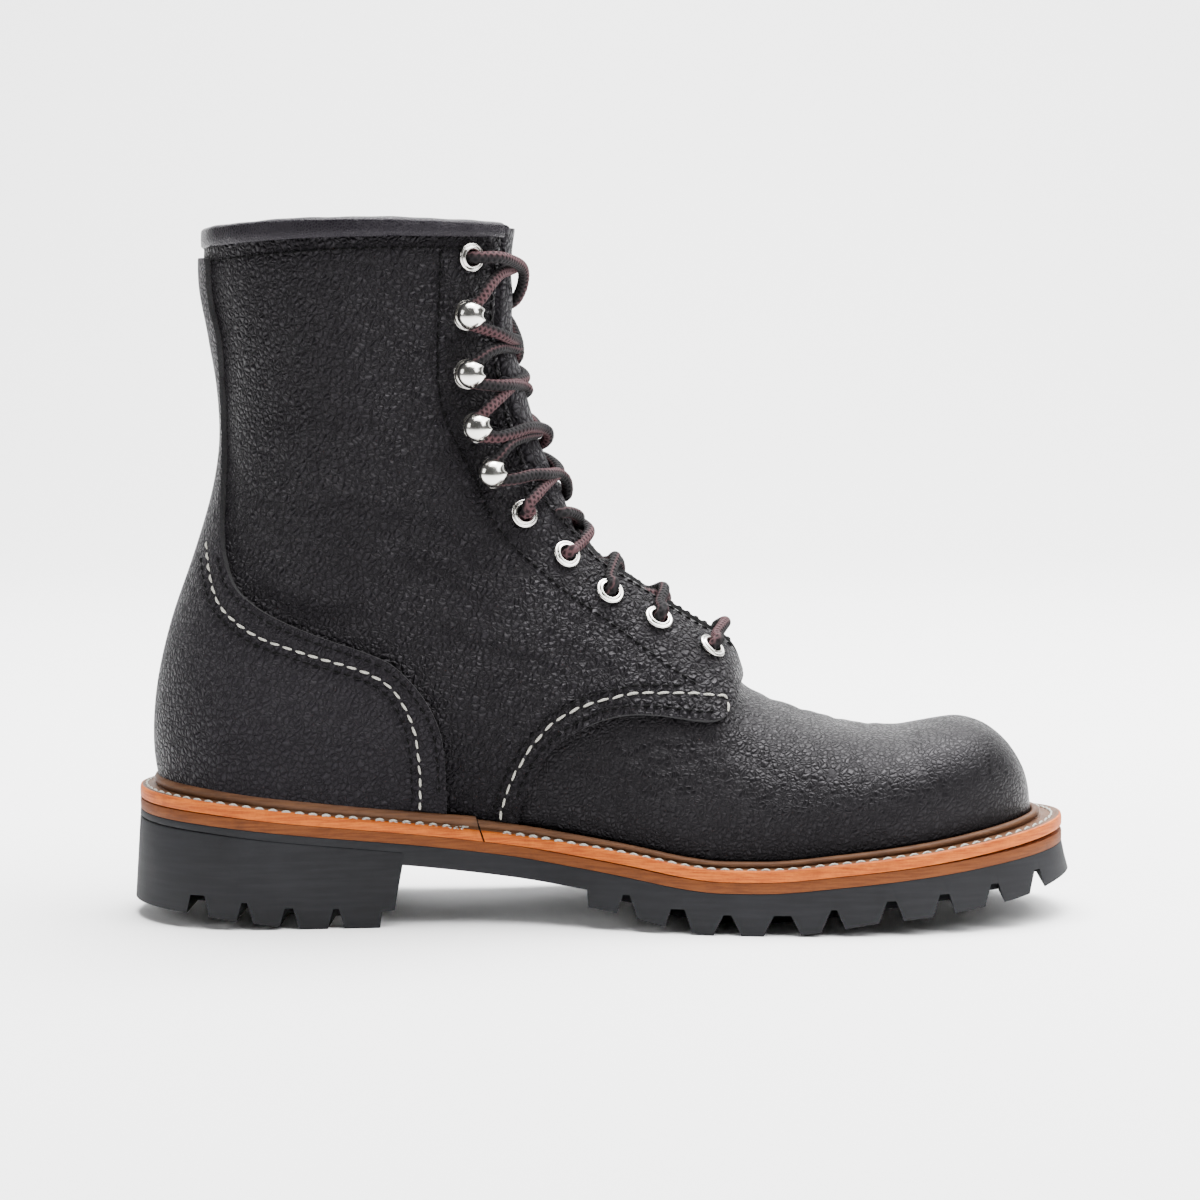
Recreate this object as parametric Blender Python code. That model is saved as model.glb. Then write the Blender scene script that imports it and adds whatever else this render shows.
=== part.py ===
# A logger boot for the left foot, standing empty on its sole, built from the pieces that a maker
# puts together. Lengths are in millimetres and the meshes are made in metres. +X points to the
# toe, +Z up, -Y is the inner side of the foot, and the floor is at zero.

import bpy
import bmesh
import numpy as np
from math import cos, pi, sin

MM = 0.001

# The last: the solid foot form that the upper is pulled over
LAST_LENGTH = 286.0
HEEL_X = -144.0
BALL_WIDTH = 96.0
INSTEP_RISE = 93.8
SHAFT_RISE = 105.0
COLLAR_HEIGHT = 226.0
COLLAR_ARCH = 2.2

# Layers, from the ground up
GAP = 0.3
SEAT_GAP = 0.5
HEEL_LEVEL = 35.6
BALL_LEVEL = 13.1
TOE_LEVEL = 25.2
TOE_SPRING = 14.0
HEEL_SPRING = 5.6
LUG_DEPTH = 6.4
WAIST_RUBBER = 6.3
HEEL_LIP = 2.2
RUBBER_FLARE = 2.2
MIDSOLE_THICKNESS = 3.3
WELT_THICKNESS = 3.8
RIB_WIDTH = 2.4
INSOLE_THICKNESS = 3.5

# Leather
WALL = 2.2
QUARTER_STEP = 2.0
COUNTER_THICKNESS = 1.7
TONGUE_THICKNESS = 2.2
TONGUE_HALF = 25.0
TONGUE_SINK = 2.6
BINDING_SKIN = 1.2
BINDING_DROP = 3.6

# Hardware and laces
EYELET_RADIUS = 4.7
EYELET_BORE = 2.5
EYELET_RISE = 1.3
HOOK_RADIUS = 4.4
HOOK_NECK = 1.5
HOOK_HEIGHT = 9.2
LACE_RADIUS = 1.9
LACE_SINK = 2.6
LACE_OVER_EYELET = EYELET_RISE + 2 * GAP + LACE_RADIUS + 0.5

# How finely the curved pieces are divided
SHAFT_ROWS = 7
FOOT_ROWS = 22
SIDE_COUNT = 10
RING_COUNT = 50
ROUND_COUNT = 8


def table(columns, rows):
    return {name: np.array([row[i] for row in rows], float) for i, name in enumerate(columns)}


# Height of the rubber's top line, as a share of the rise to the heel (+) or to the toe (-)
SOLE_LINE = table(("station", "share"), [
    (-0.04, 1.0), (0.06, 0.92), (0.16, 0.765), (0.285, 0.60), (0.375, 0.46), (0.465, 0.31),
    (0.553, 0.163), (0.608, 0.045), (0.643, 0.0), (0.69, 0.0), (0.775, -0.165), (0.866, -0.386),
    (0.957, -0.69), (1.04, -1.0)])

# Height of the tread above the floor: shares of the toe spring (-) and of the heel spring (+)
TREAD_LINE = table(("station", "share"), [
    (-0.04, 1.0), (0.02, 0.93), (0.11, 0.45), (0.185, 0.0), (0.30, 0.0), (0.40, -0.6), (0.50, -0.49),
    (0.53, -0.40), (0.572, -0.21), (0.608, -0.06), (0.633, 0.0), (0.706, 0.0), (0.738, -0.05),
    (0.776, -0.16), (0.818, -0.29), (0.87, -0.38), (0.923, -0.52), (0.975, -0.67), (1.04, -1.0)])

# Foot sections: half widths as shares of the ball width, the rest in millimetres
FOOT = table(
    ("station", "inner", "outer", "centre", "crown", "bulge", "extension", "rib", "rib_gap"), [
        (0.000, 0.345, 0.345, 0.0, 2.4, 1.5, 8.0, 3.8, 0.8),
        (0.136, 0.345, 0.345, 0.0, 2.2, 2.5, 5.6, 3.8, 0.8),
        (0.240, 0.325, 0.345, 0.0, 1.9, 3.0, 5.0, 3.6, 1.0),
        (0.330, 0.290, 0.345, 0.0, 1.7, 4.0, 5.0, 3.2, 1.3),
        (0.420, 0.270, 0.365, -0.5, 1.45, 4.5, 5.2, 2.9, 1.5),
        (0.500, 0.320, 0.425, -1.5, 1.4, 3.5, 5.6, 2.6, 1.3),
        (0.590, 0.400, 0.475, -2.5, 1.6, 2.5, 6.2, 2.3, 0.8),
        (0.670, 0.432, 0.527, -3.0, 2.0, 2.0, 6.5, 2.2, 0.8),
        (0.780, 0.440, 0.532, -4.0, 2.3, 1.8, 7.2, 2.3, 0.8),
        (0.900, 0.440, 0.524, -4.5, 2.6, 1.5, 8.6, 2.6, 0.8),
        (1.000, 0.440, 0.515, -4.5, 2.6, 1.0, 10.0, 3.0, 0.8)])
TOE_START, TOE_POWER = 0.66, 2.75
HEEL_START, HEEL_POWER = 0.136, 2.3
BELLY_HEIGHT, BELLY_SHARE = 13.0, 0.33

# Shaft sections, from the heel seat to the collar: half width, place of the widest point, and
# how full the section is behind it and in front of it
SHAFT = table(("height", "half", "middle", "rear", "front"), [
    (0.155, 0.349, 0.140, 2.3, 3.5), (0.243, 0.378, 0.143, 2.25, 3.4), (0.332, 0.385, 0.154, 2.2, 3.0),
    (0.442, 0.377, 0.178, 2.1, 2.3), (0.553, 0.371, 0.210, 2.0, 1.75), (0.664, 0.377, 0.231, 2.0, 1.45),
    (0.796, 0.392, 0.231, 2.0, 1.35), (0.907, 0.408, 0.227, 2.0, 1.35), (1.018, 0.419, 0.224, 2.0, 1.35)])

# Centre line of the top of the foot: rise above the sole as a share of the instep's rise
RIDGE_FOOT = [
    (1.000, 0.020), (0.9985, 0.061), (0.9955, 0.133), (0.9875, 0.207), (0.971, 0.286),
    (0.946, 0.354), (0.9185, 0.388), (0.8915, 0.390), (0.864, 0.383), (0.836, 0.386),
    (0.808, 0.399), (0.7535, 0.455), (0.6985, 0.540), (0.671, 0.591), (0.647, 0.692),
    (0.6295, 0.751), (0.603, 0.813), (0.548, 0.905), (0.499, 1.004)]
# Front line of the shaft: height above the instep as a share of the shaft's rise
RIDGE_SHAFT = [
    (0.481, 0.127), (0.4615, 0.240), (0.437, 0.410), (0.4225, 0.562), (0.4145, 0.667),
    (0.4125, 0.800), (0.4145, 1.000)]
# Back line, from the collar down to the heel seat: height share and station
BACK_LINE = [
    (0.989, 0.0595), (0.912, 0.0577), (0.841, 0.0671), (0.770, 0.0769), (0.699, 0.0783),
    (0.633, 0.0699), (0.527, 0.0455), (0.420, 0.0185), (0.314, -0.0007), (0.243, -0.0052),
    (0.191, 0.0)]

# Where the cross sections meet the front line and the back and sole line, as shares of each
# line's length, from the collar to the toe
SECTIONS = table(("front", "back"), [
    (0.0, 0.0), (0.092, 0.073), (0.159, 0.142), (0.213, 0.218), (0.262, 0.291), (0.305, 0.353),
    (0.339, 0.403), (0.367, 0.441), (0.395, 0.484), (0.428, 0.550), (0.466, 0.625), (0.506, 0.695),
    (0.548, 0.760), (0.590, 0.812), (0.640, 0.862), (0.690, 0.902), (0.745, 0.946), (0.802, 1.0),
    (0.835, 1.0), (0.870, 1.0), (0.905, 1.0), (0.945, 1.0), (0.975, 1.0), (1.0, 1.0)])

# Half of the gap between the facings, along the front line
THROAT = table(("front", "half"), [
    (0.0, 12.5), (0.16, 15.2), (0.25, 15.4), (0.30, 14.0), (0.34, 10.5), (0.37, 7.0), (0.42, 5.6),
    (0.53, 5.0)])
THROAT_END = 0.50

# Edge of the quarter where it lies over the vamp, and edge of the counter with the back strip
QUARTER_EDGE = [
    (0.664, 0.420), (0.668, 0.362), (0.661, 0.330), (0.652, 0.300), (0.638, 0.292), (0.575, 0.3005),
    (0.541, 0.300), (0.511, 0.291), (0.485, 0.2765), (0.463, 0.258), (0.4455, 0.235), (0.4325, 0.207),
    (0.423, 0.179), (0.415, 0.140)]
COUNTER_EDGE = [
    (0.074, 0.952), (0.0745, 0.890), (0.0825, 0.835), (0.0853, 0.749), (0.0843, 0.634), (0.0836, 0.566),
    (0.0878, 0.529), (0.1024, 0.485), (0.1255, 0.459), (0.159, 0.436), (0.200, 0.4146), (0.240, 0.397),
    (0.276, 0.377), (0.3025, 0.3456), (0.321, 0.311), (0.332, 0.2726), (0.3357, 0.2235), (0.335, 0.130)]

# Places of the eyelets and hooks, from the foot of the throat up to the collar: share of the
# front line and distance from the middle
STAYS = table(("front", "across", "hook"), [
    (0.5438, 15.3, 0), (0.4768, 15.1, 0), (0.4147, 14.8, 0), (0.3638, 16.6, 0), (0.3007, 20.6, 0),
    (0.2495, 22.9, 1), (0.2034, 23.2, 1), (0.1473, 22.8, 1), (0.0944, 21.8, 1), (0.0341, 21.9, 0)])

# Grooves of the tread: place of the first, pitch, and widths of the two kinds in turn
BALL_REST = (0.636, 0.703)     # the stretch of the tread that stands flat on the floor, in shares of the last
FORE_GROOVES = {"first": 9.8, "pitch": 16.75, "count": 9, "mouths": (6.4, 10.4), "roofs": (1.8, 4.2)}
HEEL_GROOVES = {"first": -83.9, "pitch": -14.9, "count": 4, "mouths": (5.8, 7.2), "roofs": (2.6, 4.2)}
LUG_LENGTH = 21.0
CHANNEL_WIDTH = 5.0
BREAST_TOP, BREAST_LEAN, BREAST_STEP = -62.0, 4.5, 4.0
FORE_START = -1.2


def along(xs, ys, at):
    """Smooth curve through a table's points, without overshoot."""
    at = np.clip(np.asarray(at, float), xs[0], xs[-1])
    step = np.diff(xs)
    slope = np.diff(ys) / step
    ends = np.zeros(len(xs))
    left, right = slope[:-1], slope[1:]
    same = left * right > 0
    wide = 2 * step[1:] + step[:-1]
    near = step[1:] + 2 * step[:-1]
    inner = ends[1:-1]
    inner[same] = (wide + near)[same] / (wide[same] / left[same] + near[same] / right[same])
    ends[0], ends[-1] = slope[0], slope[-1]
    k = np.clip(np.searchsorted(xs, at, side="right") - 1, 0, len(step) - 1)
    t = (at - xs[k]) / step[k]
    value = (1 + 2 * t) * (1 - t) ** 2 * ys[k] + t * t * (3 - 2 * t) * ys[k + 1]
    return value + step[k] * (t * (1 - t) ** 2 * ends[k] - t * t * (1 - t) * ends[k + 1])


def rounded(points, count=8):
    """Round curve through points, with count steps between two of them."""
    points = np.asarray(points, float)
    path = np.vstack([2 * points[0] - points[1], points, 2 * points[-1] - points[-2]])
    out = []
    for a, b, c, d in zip(path, path[1:], path[2:], path[3:]):
        t0 = 0.0
        t1 = t0 + np.linalg.norm(b - a) ** 0.5
        t2 = t1 + np.linalg.norm(c - b) ** 0.5
        t3 = t2 + np.linalg.norm(d - c) ** 0.5
        for t in np.linspace(t1, t2, count, endpoint=False):
            ab = ((t1 - t) * a + (t - t0) * b) / (t1 - t0)
            bc = ((t2 - t) * b + (t - t1) * c) / (t2 - t1)
            cd = ((t3 - t) * c + (t - t2) * d) / (t3 - t2)
            abc = ((t2 - t) * ab + (t - t0) * bc) / (t2 - t0)
            bcd = ((t3 - t) * bc + (t - t1) * cd) / (t3 - t1)
            out.append(((t2 - t) * abc + (t - t1) * bcd) / (t2 - t1))
    out.append(points[-1])
    return np.array(out)


def ease(value):
    value = np.clip(value, 0, 1)
    return value * value * (3 - 2 * value)


def station(x):
    return (np.asarray(x, float) - HEEL_X) / LAST_LENGTH


def place(share):
    return HEEL_X + np.asarray(share, float) * LAST_LENGTH


def foot(column, x):
    return along(FOOT["station"], FOOT[column], station(x))


def shaft(column, z):
    return along(SHAFT["height"], SHAFT[column], np.asarray(z, float) / COLLAR_HEIGHT)


# Levels of the layers along the sole

def sole_level(x):
    share = along(SOLE_LINE["station"], SOLE_LINE["share"], station(x))
    rise = np.where(share > 0, HEEL_LEVEL - BALL_LEVEL, BALL_LEVEL - TOE_LEVEL)
    return BALL_LEVEL + share * rise


def tread_level(x):
    share = along(TREAD_LINE["station"], TREAD_LINE["share"], station(x))
    return share * np.where(share > 0, HEEL_SPRING, -TOE_SPRING)


def welt_level(x):
    return sole_level(x) + MIDSOLE_THICKNESS + GAP


def feather_level(x):
    """Lower edge of the upper, just above the welt."""
    return welt_level(x) + WELT_THICKNESS + SEAT_GAP


def rib_level(x):
    return feather_level(x) + foot("rib", x)


# The form of the last and shaft: silhouette lines first, then the half width at any place of
# the side view

def end_share(x):
    toe = np.clip((station(x) - TOE_START) / (1 - TOE_START), 0, 1)
    heel = np.clip((HEEL_START - station(x)) / HEEL_START, 0, 1)
    return np.sqrt(np.clip(1 - toe ** TOE_POWER - heel ** HEEL_POWER, 0, 1))


def half_feather(x, side):
    return foot("inner" if side < 0 else "outer", x) * BALL_WIDTH * end_share(x)


def ridge_line():
    foot_part = [(place(s), feather_level(place(s)) + (rise - RIDGE_FOOT[0][1]) * INSTEP_RISE)
                 for s, rise in RIDGE_FOOT]
    instep = foot_part[-1][1]
    return rounded(foot_part + [(place(s), instep + rise * SHAFT_RISE) for s, rise in RIDGE_SHAFT])


def back_line():
    points = [(place(s), height * COLLAR_HEIGHT) for height, s in BACK_LINE[:-1]]
    return rounded(points + [(HEEL_X, float(feather_level(HEEL_X)))])


RIDGE = ridge_line()
BACK = back_line()
RIDGE_BY_X = RIDGE[np.argsort(RIDGE[:, 0])]
FRONT_BY_Z = RIDGE[RIDGE[:, 0] < place(0.81)]
FRONT_BY_Z = FRONT_BY_Z[np.argsort(FRONT_BY_Z[:, 1])]
BACK_BY_Z = BACK[np.argsort(BACK[:, 1])]


def ridge_at(x):
    return np.interp(x, RIDGE_BY_X[:, 0], RIDGE_BY_X[:, 1])


def front_at(z):
    return np.interp(z, FRONT_BY_Z[:, 1], FRONT_BY_Z[:, 0])


def back_at(z):
    return np.interp(z, BACK_BY_Z[:, 1], BACK_BY_Z[:, 0])


def belly(x):
    return np.clip(np.minimum(BELLY_HEIGHT, BELLY_SHARE * (ridge_at(x) - feather_level(x))), 0.01, None)


def half_squared(x, z, side):
    """Square of the half width of the form at a place of the side view."""
    low, top, round_up = feather_level(x), ridge_at(x), belly(x)
    bulge = foot("bulge", x) * np.clip(2 * end_share(x), 0, 1)
    wide = half_feather(x, side) + bulge
    crown = foot("crown", x)
    if side > 0:
        crown = crown * ((half_feather(x, -1) + bulge) / np.maximum(wide, 0.01)) ** 2
    up = np.clip((z - low - round_up) / np.maximum(top - low - round_up, 0.01), 0, 1)
    under = np.clip((low + round_up - z) / round_up, 0, 1)
    of_foot = (wide - bulge * under ** 2) ** 2 * (1 - up ** crown)
    middle = place(shaft("middle", z))
    rear = np.clip((middle - x) / np.maximum(middle - back_at(z), 1), 0, 1)
    front = np.clip((x - middle) / np.maximum(front_at(z) - middle, 1), 0, 1)
    fall = rear ** shaft("rear", z) + front ** shaft("front", z)
    of_shaft = (shaft("half", z) * BALL_WIDTH) ** 2 * np.clip(1 - fall, 0, None)
    waist = ease((x - place(0.09)) / 30)
    mix = ease((0.42 * (z - HEEL_LEVEL) - x - 8) / 60) * (1 - waist * (1 - ease((z - low) / 24)))
    return (1 - mix) * of_foot + mix * of_shaft


def centre_at(x, z):
    return foot("centre", x) * ease((150 - z) / 60)


def outer(x, z, side):
    return centre_at(x, z) + side * np.sqrt(np.clip(half_squared(x, z, side), 0, None))


def normal_at(x, y, z, side):
    step = 0.4
    along_x = half_squared(x + step, z, side) - half_squared(x - step, z, side)
    along_z = half_squared(x, z + step, side) - half_squared(x, z - step, side)
    way = np.array([-float(along_x), 4 * step * (y - float(centre_at(x, z))), -float(along_z)])
    return way / np.linalg.norm(way)


# Sections across the form

def by_share(line, share):
    run = np.concatenate([[0], np.cumsum(np.linalg.norm(np.diff(line, axis=0), axis=1))])
    at = np.asarray(share) * run[-1]
    return np.stack([np.interp(at, run, line[:, 0]), np.interp(at, run, line[:, 1])], axis=-1)


def lower_line():
    pivot = place(0.895)
    xs = np.linspace(HEEL_X, pivot, 60)[1:]
    return np.vstack([BACK, np.stack([xs, feather_level(xs)], axis=-1)])


FRONT_LINE = RIDGE[::-1]
LOWER_LINE = lower_line()
FRONT_LENGTH = float(np.sum(np.linalg.norm(np.diff(FRONT_LINE, axis=0), axis=1)))
BACK_SHARE = (np.sum(np.linalg.norm(np.diff(BACK, axis=0), axis=1))
              / np.sum(np.linalg.norm(np.diff(LOWER_LINE, axis=0), axis=1)))


def over_front(share, across, lift=0.0):
    """Point over the front of the boot: place along the front line, distance from the middle
    (minus for the inner side) and height over the form, with the outward normal."""
    spot = by_share(FRONT_LINE, np.array([share - 0.004, share, share + 0.004]))
    way = (spot[2] - spot[0]) / np.linalg.norm(spot[2] - spot[0])
    out = np.array([-way[1], way[0]])
    side = -1 if across < 0 else 1
    deep = np.linspace(0, 50, 200)
    x, z = spot[1][0] - out[0] * deep, spot[1][1] - out[1] * deep
    wide = np.sqrt(np.clip(half_squared(x, z, side), 0, None))
    wide[0] = 0
    base = spot[1] - out * float(np.interp(abs(across), np.maximum.accumulate(wide), deep))
    y = float(centre_at(*base)) + across
    normal = normal_at(base[0], y, base[1], side)
    rise = lift(*base) if callable(lift) else lift
    return np.array([base[0], y, base[1]]) + normal * rise, normal


def form_grid(sides=SIDE_COUNT):
    """Grid of points over the form: one row for each section, from the inner side over the top
    to the outer side."""
    seat, last = 7, len(SECTIONS["front"]) - 1
    index = np.concatenate([np.linspace(0, seat, SHAFT_ROWS + 1)[:-1], np.linspace(seat, last, FOOT_ROWS)])
    number = np.arange(len(SECTIONS["front"]), dtype=float)
    top = by_share(FRONT_LINE, along(number, SECTIONS["front"], index))
    low_share = along(number, SECTIONS["back"], index)
    low = by_share(LOWER_LINE, low_share)
    on_back = low_share < BACK_SHARE
    low[:, 1] = np.where(on_back, low[:, 1], feather_level(low[:, 0]))
    share = (1 - np.cos(np.linspace(0, pi, sides + 1))) / 2
    flat = low[:, None] + (top - low)[:, None] * share[None, :, None]
    x, z = flat[..., 0], flat[..., 1]
    arch = COLLAR_ARCH * 4 * share * (1 - share) * ease(1 - index[:, None] / 4)
    z_shown = z + arch
    halves = []
    for side in (-1, 1):
        y = outer(x, z, side)
        y[:, -1] = centre_at(x[:, -1], z[:, -1])
        y[on_back, 0] = centre_at(x[on_back, 0], z[on_back, 0])
        halves.append(np.stack([x, y, z_shown], axis=-1))
    return np.concatenate([halves[0], halves[1][:, -2::-1]], axis=1)


def weld(points):
    keys = np.round(points.reshape(-1, 3), 2)
    _, first, same = np.unique(keys, axis=0, return_index=True, return_inverse=True)
    return first, same.reshape(points.shape[:2])


def grid_faces(names):
    faces = []
    for i in range(names.shape[0] - 1):
        for j in range(names.shape[1] - 1):
            loop = []
            for k in (names[i, j], names[i + 1, j], names[i + 1, j + 1], names[i, j + 1]):
                if k not in loop:
                    loop.append(int(k))
            if len(loop) == 4:
                faces += [[loop[0], loop[1], loop[2]], [loop[0], loop[2], loop[3]]]
            elif len(loop) == 3:
                faces.append(loop)
    return faces


def normals_of(points, level_rows=()):
    """Outward normals of a grid, level along its lower edge and along the rows named."""
    first, names = weld(points)
    flat = points.reshape(-1, 3)[first]
    total = np.zeros_like(flat)
    for loop in grid_faces(names):
        corners = flat[loop]
        across = np.zeros(3)
        for a, b in zip(corners, np.roll(corners, -1, axis=0)):
            across += np.cross(a, b)
        total[loop] += across
    normals = (total / np.maximum(np.linalg.norm(total, axis=1, keepdims=True), 1e-9))[names]
    low = np.abs(points[..., 2] - feather_level(points[..., 0])) < 0.05
    for row in level_rows:
        low[row] = True
    normals[low, 2] = 0
    return normals / np.linalg.norm(normals, axis=-1, keepdims=True)


# Making objects

def material(name, colour, roughness, metallic=0.0):
    made = bpy.data.materials.new(name)
    made.use_nodes = True
    surface = made.node_tree.nodes["Principled BSDF"]
    surface.inputs["Base Color"].default_value = (*colour, 1.0)
    surface.inputs["Roughness"].default_value = roughness
    surface.inputs["Metallic"].default_value = metallic
    return made


def solid(name, points, faces, finish=None, tool=False):
    """Mesh object from points in millimetres, its faces turned outwards."""
    mesh = bpy.data.meshes.new(name)
    build = bmesh.new()
    corners = [build.verts.new(np.asarray(p, float) * MM) for p in points]
    for face in faces:
        build.faces.new([corners[int(k)] for k in face])
    bmesh.ops.remove_doubles(build, verts=build.verts, dist=1e-6)
    bmesh.ops.triangulate(build, faces=[f for f in build.faces if len(f.verts) > 3])
    bmesh.ops.recalc_face_normals(build, faces=build.faces)
    build.to_mesh(mesh)
    build.free()
    made = bpy.data.objects.new(name, mesh)
    bpy.context.collection.objects.link(made)
    if finish:
        mesh.materials.append(finish)
    mesh.shade_smooth()
    mesh.set_sharp_from_angle(angle=pi / 5)
    if tool:
        made.hide_render = True
        made.display_type = "WIRE"
    return made


def cut(target, tool, operation="DIFFERENCE"):
    change = target.modifiers.new(tool.name, "BOOLEAN")
    change.operation = operation
    change.object = tool
    change.solver = "EXACT"


def shell(name, outside, inside, finish=None, tool=False):
    """Closed solid between two grids of the same size."""
    first, names = weld(outside)
    count = len(first)
    points = np.vstack([outside.reshape(-1, 3)[first], inside.reshape(-1, 3)[first]])
    faces = grid_faces(names)
    edges = set()
    for loop in faces:
        edges.update(zip(loop, loop[1:] + loop[:1]))
    rim = [(b, a, a + count, b + count) for a, b in edges if (b, a) not in edges]
    back = [[k + count for k in loop[::-1]] for loop in faces]
    return solid(name, points, faces + back + rim, finish, tool)


def prism(name, outline, depth=(-90.0, 90.0), finish=None):
    """Cutter: an outline of the side view carried straight across the boot."""
    n = len(outline)
    points = [(x, y, z) for y in depth for x, z in outline]
    faces = [list(range(n)), list(range(2 * n - 1, n - 1, -1))]
    faces += [(k, (k + 1) % n, n + (k + 1) % n, n + k) for k in range(n)]
    return solid(name, points, faces, finish, tool=True)


def turned(name, profile, closed, finish=None, origin=(0, 0, 0), axis=(0, 0, 1), count=ROUND_COUNT,
           tool=False):
    """Solid of revolution: radius and height along an axis, from a point."""
    axis = np.asarray(axis, float)
    side = np.cross(axis, (0.0, 0.0, 1.0) if abs(axis[2]) < 0.9 else (1.0, 0.0, 0.0))
    side /= np.linalg.norm(side)
    other = np.cross(axis, side)
    points, rings = [], []
    for radius, height in profile:
        foot_point = np.asarray(origin) + axis * height
        if radius == 0:
            rings.append([len(points)] * count)
            points.append(foot_point)
            continue
        rings.append([len(points) + k for k in range(count)])
        for k in range(count):
            turn = 2 * pi * k / count
            points.append(foot_point + radius * (cos(turn) * side + sin(turn) * other))
    pairs = list(zip(rings, rings[1:])) + ([(rings[-1], rings[0])] if closed else [])
    faces = []
    for a, b in pairs:
        for k in range(count):
            loop = []
            for corner in (a[k], a[(k + 1) % count], b[(k + 1) % count], b[k]):
                if corner not in loop:
                    loop.append(corner)
            if len(loop) > 2:
                faces.append(loop)
    return solid(name, points, faces, finish, tool)


def tube(name, path, radius, finish=None, sides=5, tool=False):
    """Round bar along a path, with flat ends."""
    path = np.asarray(path, float)
    ahead = np.gradient(path, axis=0)
    ahead /= np.linalg.norm(ahead, axis=1, keepdims=True)
    side = np.cross(ahead[0], (0.3, 0.2, 0.93))
    points = []
    for centre, way in zip(path, ahead):
        side = side - way * np.dot(side, way)
        side /= np.linalg.norm(side)
        other = np.cross(way, side)
        for k in range(sides):
            turn = 2 * pi * k / sides
            points.append(centre + radius * (cos(turn) * side + sin(turn) * other))
    faces = [list(range(sides)), list(range(len(points) - 1, len(points) - sides - 1, -1))]
    for i in range(len(path) - 1):
        for k in range(sides):
            a, b = i * sides + k, i * sides + (k + 1) % sides
            faces.append((a, b, b + sides, a + sides))
    return solid(name, points, faces, finish, tool)


# The sole's outline: the feather line set out by a distance

def ring(distance, count=RING_COUNT, breaks=()):
    """Closed outline from the heel round the inner side to the toe and back. The distance is a
    number or a function of the station along the boot."""
    share = (1 - np.cos(np.linspace(0, pi, count // 2 + 1))) / 2
    clear = [s for s in share if all(abs(s - mark) > 0.008 for mark in breaks)]
    share = np.array(sorted(clear + list(breaks)))
    x = place(share)
    near, far = (outer(x, feather_level(x), side) for side in (-1, 1))
    loop = np.stack([np.concatenate([x, x[-2:0:-1]]), np.concatenate([near, far[-2:0:-1]])], axis=-1)
    way = np.roll(loop, -1, axis=0) - np.roll(loop, 1, axis=0)
    way /= np.linalg.norm(way, axis=1, keepdims=True)
    out = np.stack([way[:, 1], -way[:, 0]], axis=-1)
    reach = distance(loop[:, 0]) if callable(distance) else distance
    return loop + out * np.reshape(reach, (-1, 1))


def edge_reach(extra=0.0):
    return lambda x: foot("extension", x) + extra


def plate(name, top, top_z, low, low_z, finish=None, tool=False, keep=None):
    """Plate between two outlines with the same stations, with a height for each of their points."""
    n = len(top)
    half = n // 2
    first, last = keep or (0, half)
    near = list(range(max(first, 0), last + 1))
    far = [(n - k) % n for k in near]
    points = [(x, y, z) for (x, y), z in zip(top, top_z)]
    points += [(x, y, z) for (x, y), z in zip(low, low_z)]
    faces = []
    for a, b, c, d in zip(near, near[1:], far[1:], far):
        faces.append([a, b, c, d])
        faces.append([n + d, n + c, n + b, n + a])
        faces.append([a, n + a, n + b, b])
        faces.append([d, c, n + c, n + d])
    for end in (0, -1):
        if near[end] != far[end]:
            faces.append([near[end], far[end], n + far[end], n + near[end]])
    faces = [list(dict.fromkeys(face)) for face in faces]
    used = sorted({k for face in faces for k in face})
    renamed = {k: i for i, k in enumerate(used)}
    faces = [[renamed[k] for k in face] for face in faces if len(face) > 2]
    return solid(name, [points[k] for k in used], faces, finish, tool)


def groove(name, at, mouth, roof, depth, reach):
    """Cutter for one groove of the tread, open below and to one side."""
    level = float(tread_level(at))
    low, high = level - 4.0, level + depth
    slant = (mouth - roof) / 2 / depth
    wide = mouth / 2 + slant * 4.0
    outline = [(at - wide, low), (at + wide, low), (at + roof / 2, high), (at - roof / 2, high)]
    return prism(name, outline, reach)


def groove_set(target, label, plan):
    for k in range(plan["count"]):
        at = plan["first"] + k * plan["pitch"]
        kind = k % 2
        for side, tag in ((-1, "inner"), (1, "outer")):
            edge = float(centre_at(at, 0) + side * (half_feather(at, side) + foot("extension", at)))
            inner_end = edge - side * min(LUG_LENGTH, abs(edge) - 2.0)
            reach = sorted((edge + side * 12.0, inner_end))
            tool = groove(f"{label}_{tag}_{k + 1}", at, plan["mouths"][kind], plan["roofs"][kind],
                          LUG_DEPTH, reach)
            cut(target, tool)


def channel(name, first, last, inset, level):
    """Cutter for the channel behind the outer lugs: a band that follows the outline."""
    a = ring(edge_reach(-inset))
    b = ring(edge_reach(-inset - CHANNEL_WIDTH))
    n = len(a)
    picked = [k for k in range(n) if first < a[k, 0] < last]
    start = next(i for i in range(len(picked)) if picked[i] - picked[i - 1] != 1)
    picked = picked[start:] + picked[:start]
    points, faces = [], []
    for k in picked:
        high = float(level(a[k, 0])) + LUG_DEPTH
        for x, y in (a[k], b[k]):
            points += [(x, y, -6.0), (x, y, high)]
    for i in range(len(picked) - 1):
        p = 4 * i
        for q, r in ((0, 1), (1, 3), (3, 2), (2, 0)):
            faces.append([p + q, p + r, p + 4 + r, p + 4 + q])
    last = 4 * len(picked) - 4
    faces += [(0, 1, 3, 2), (last, last + 2, last + 3, last + 1)]
    return solid(name, points, faces, tool=True)


# The pieces

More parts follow.
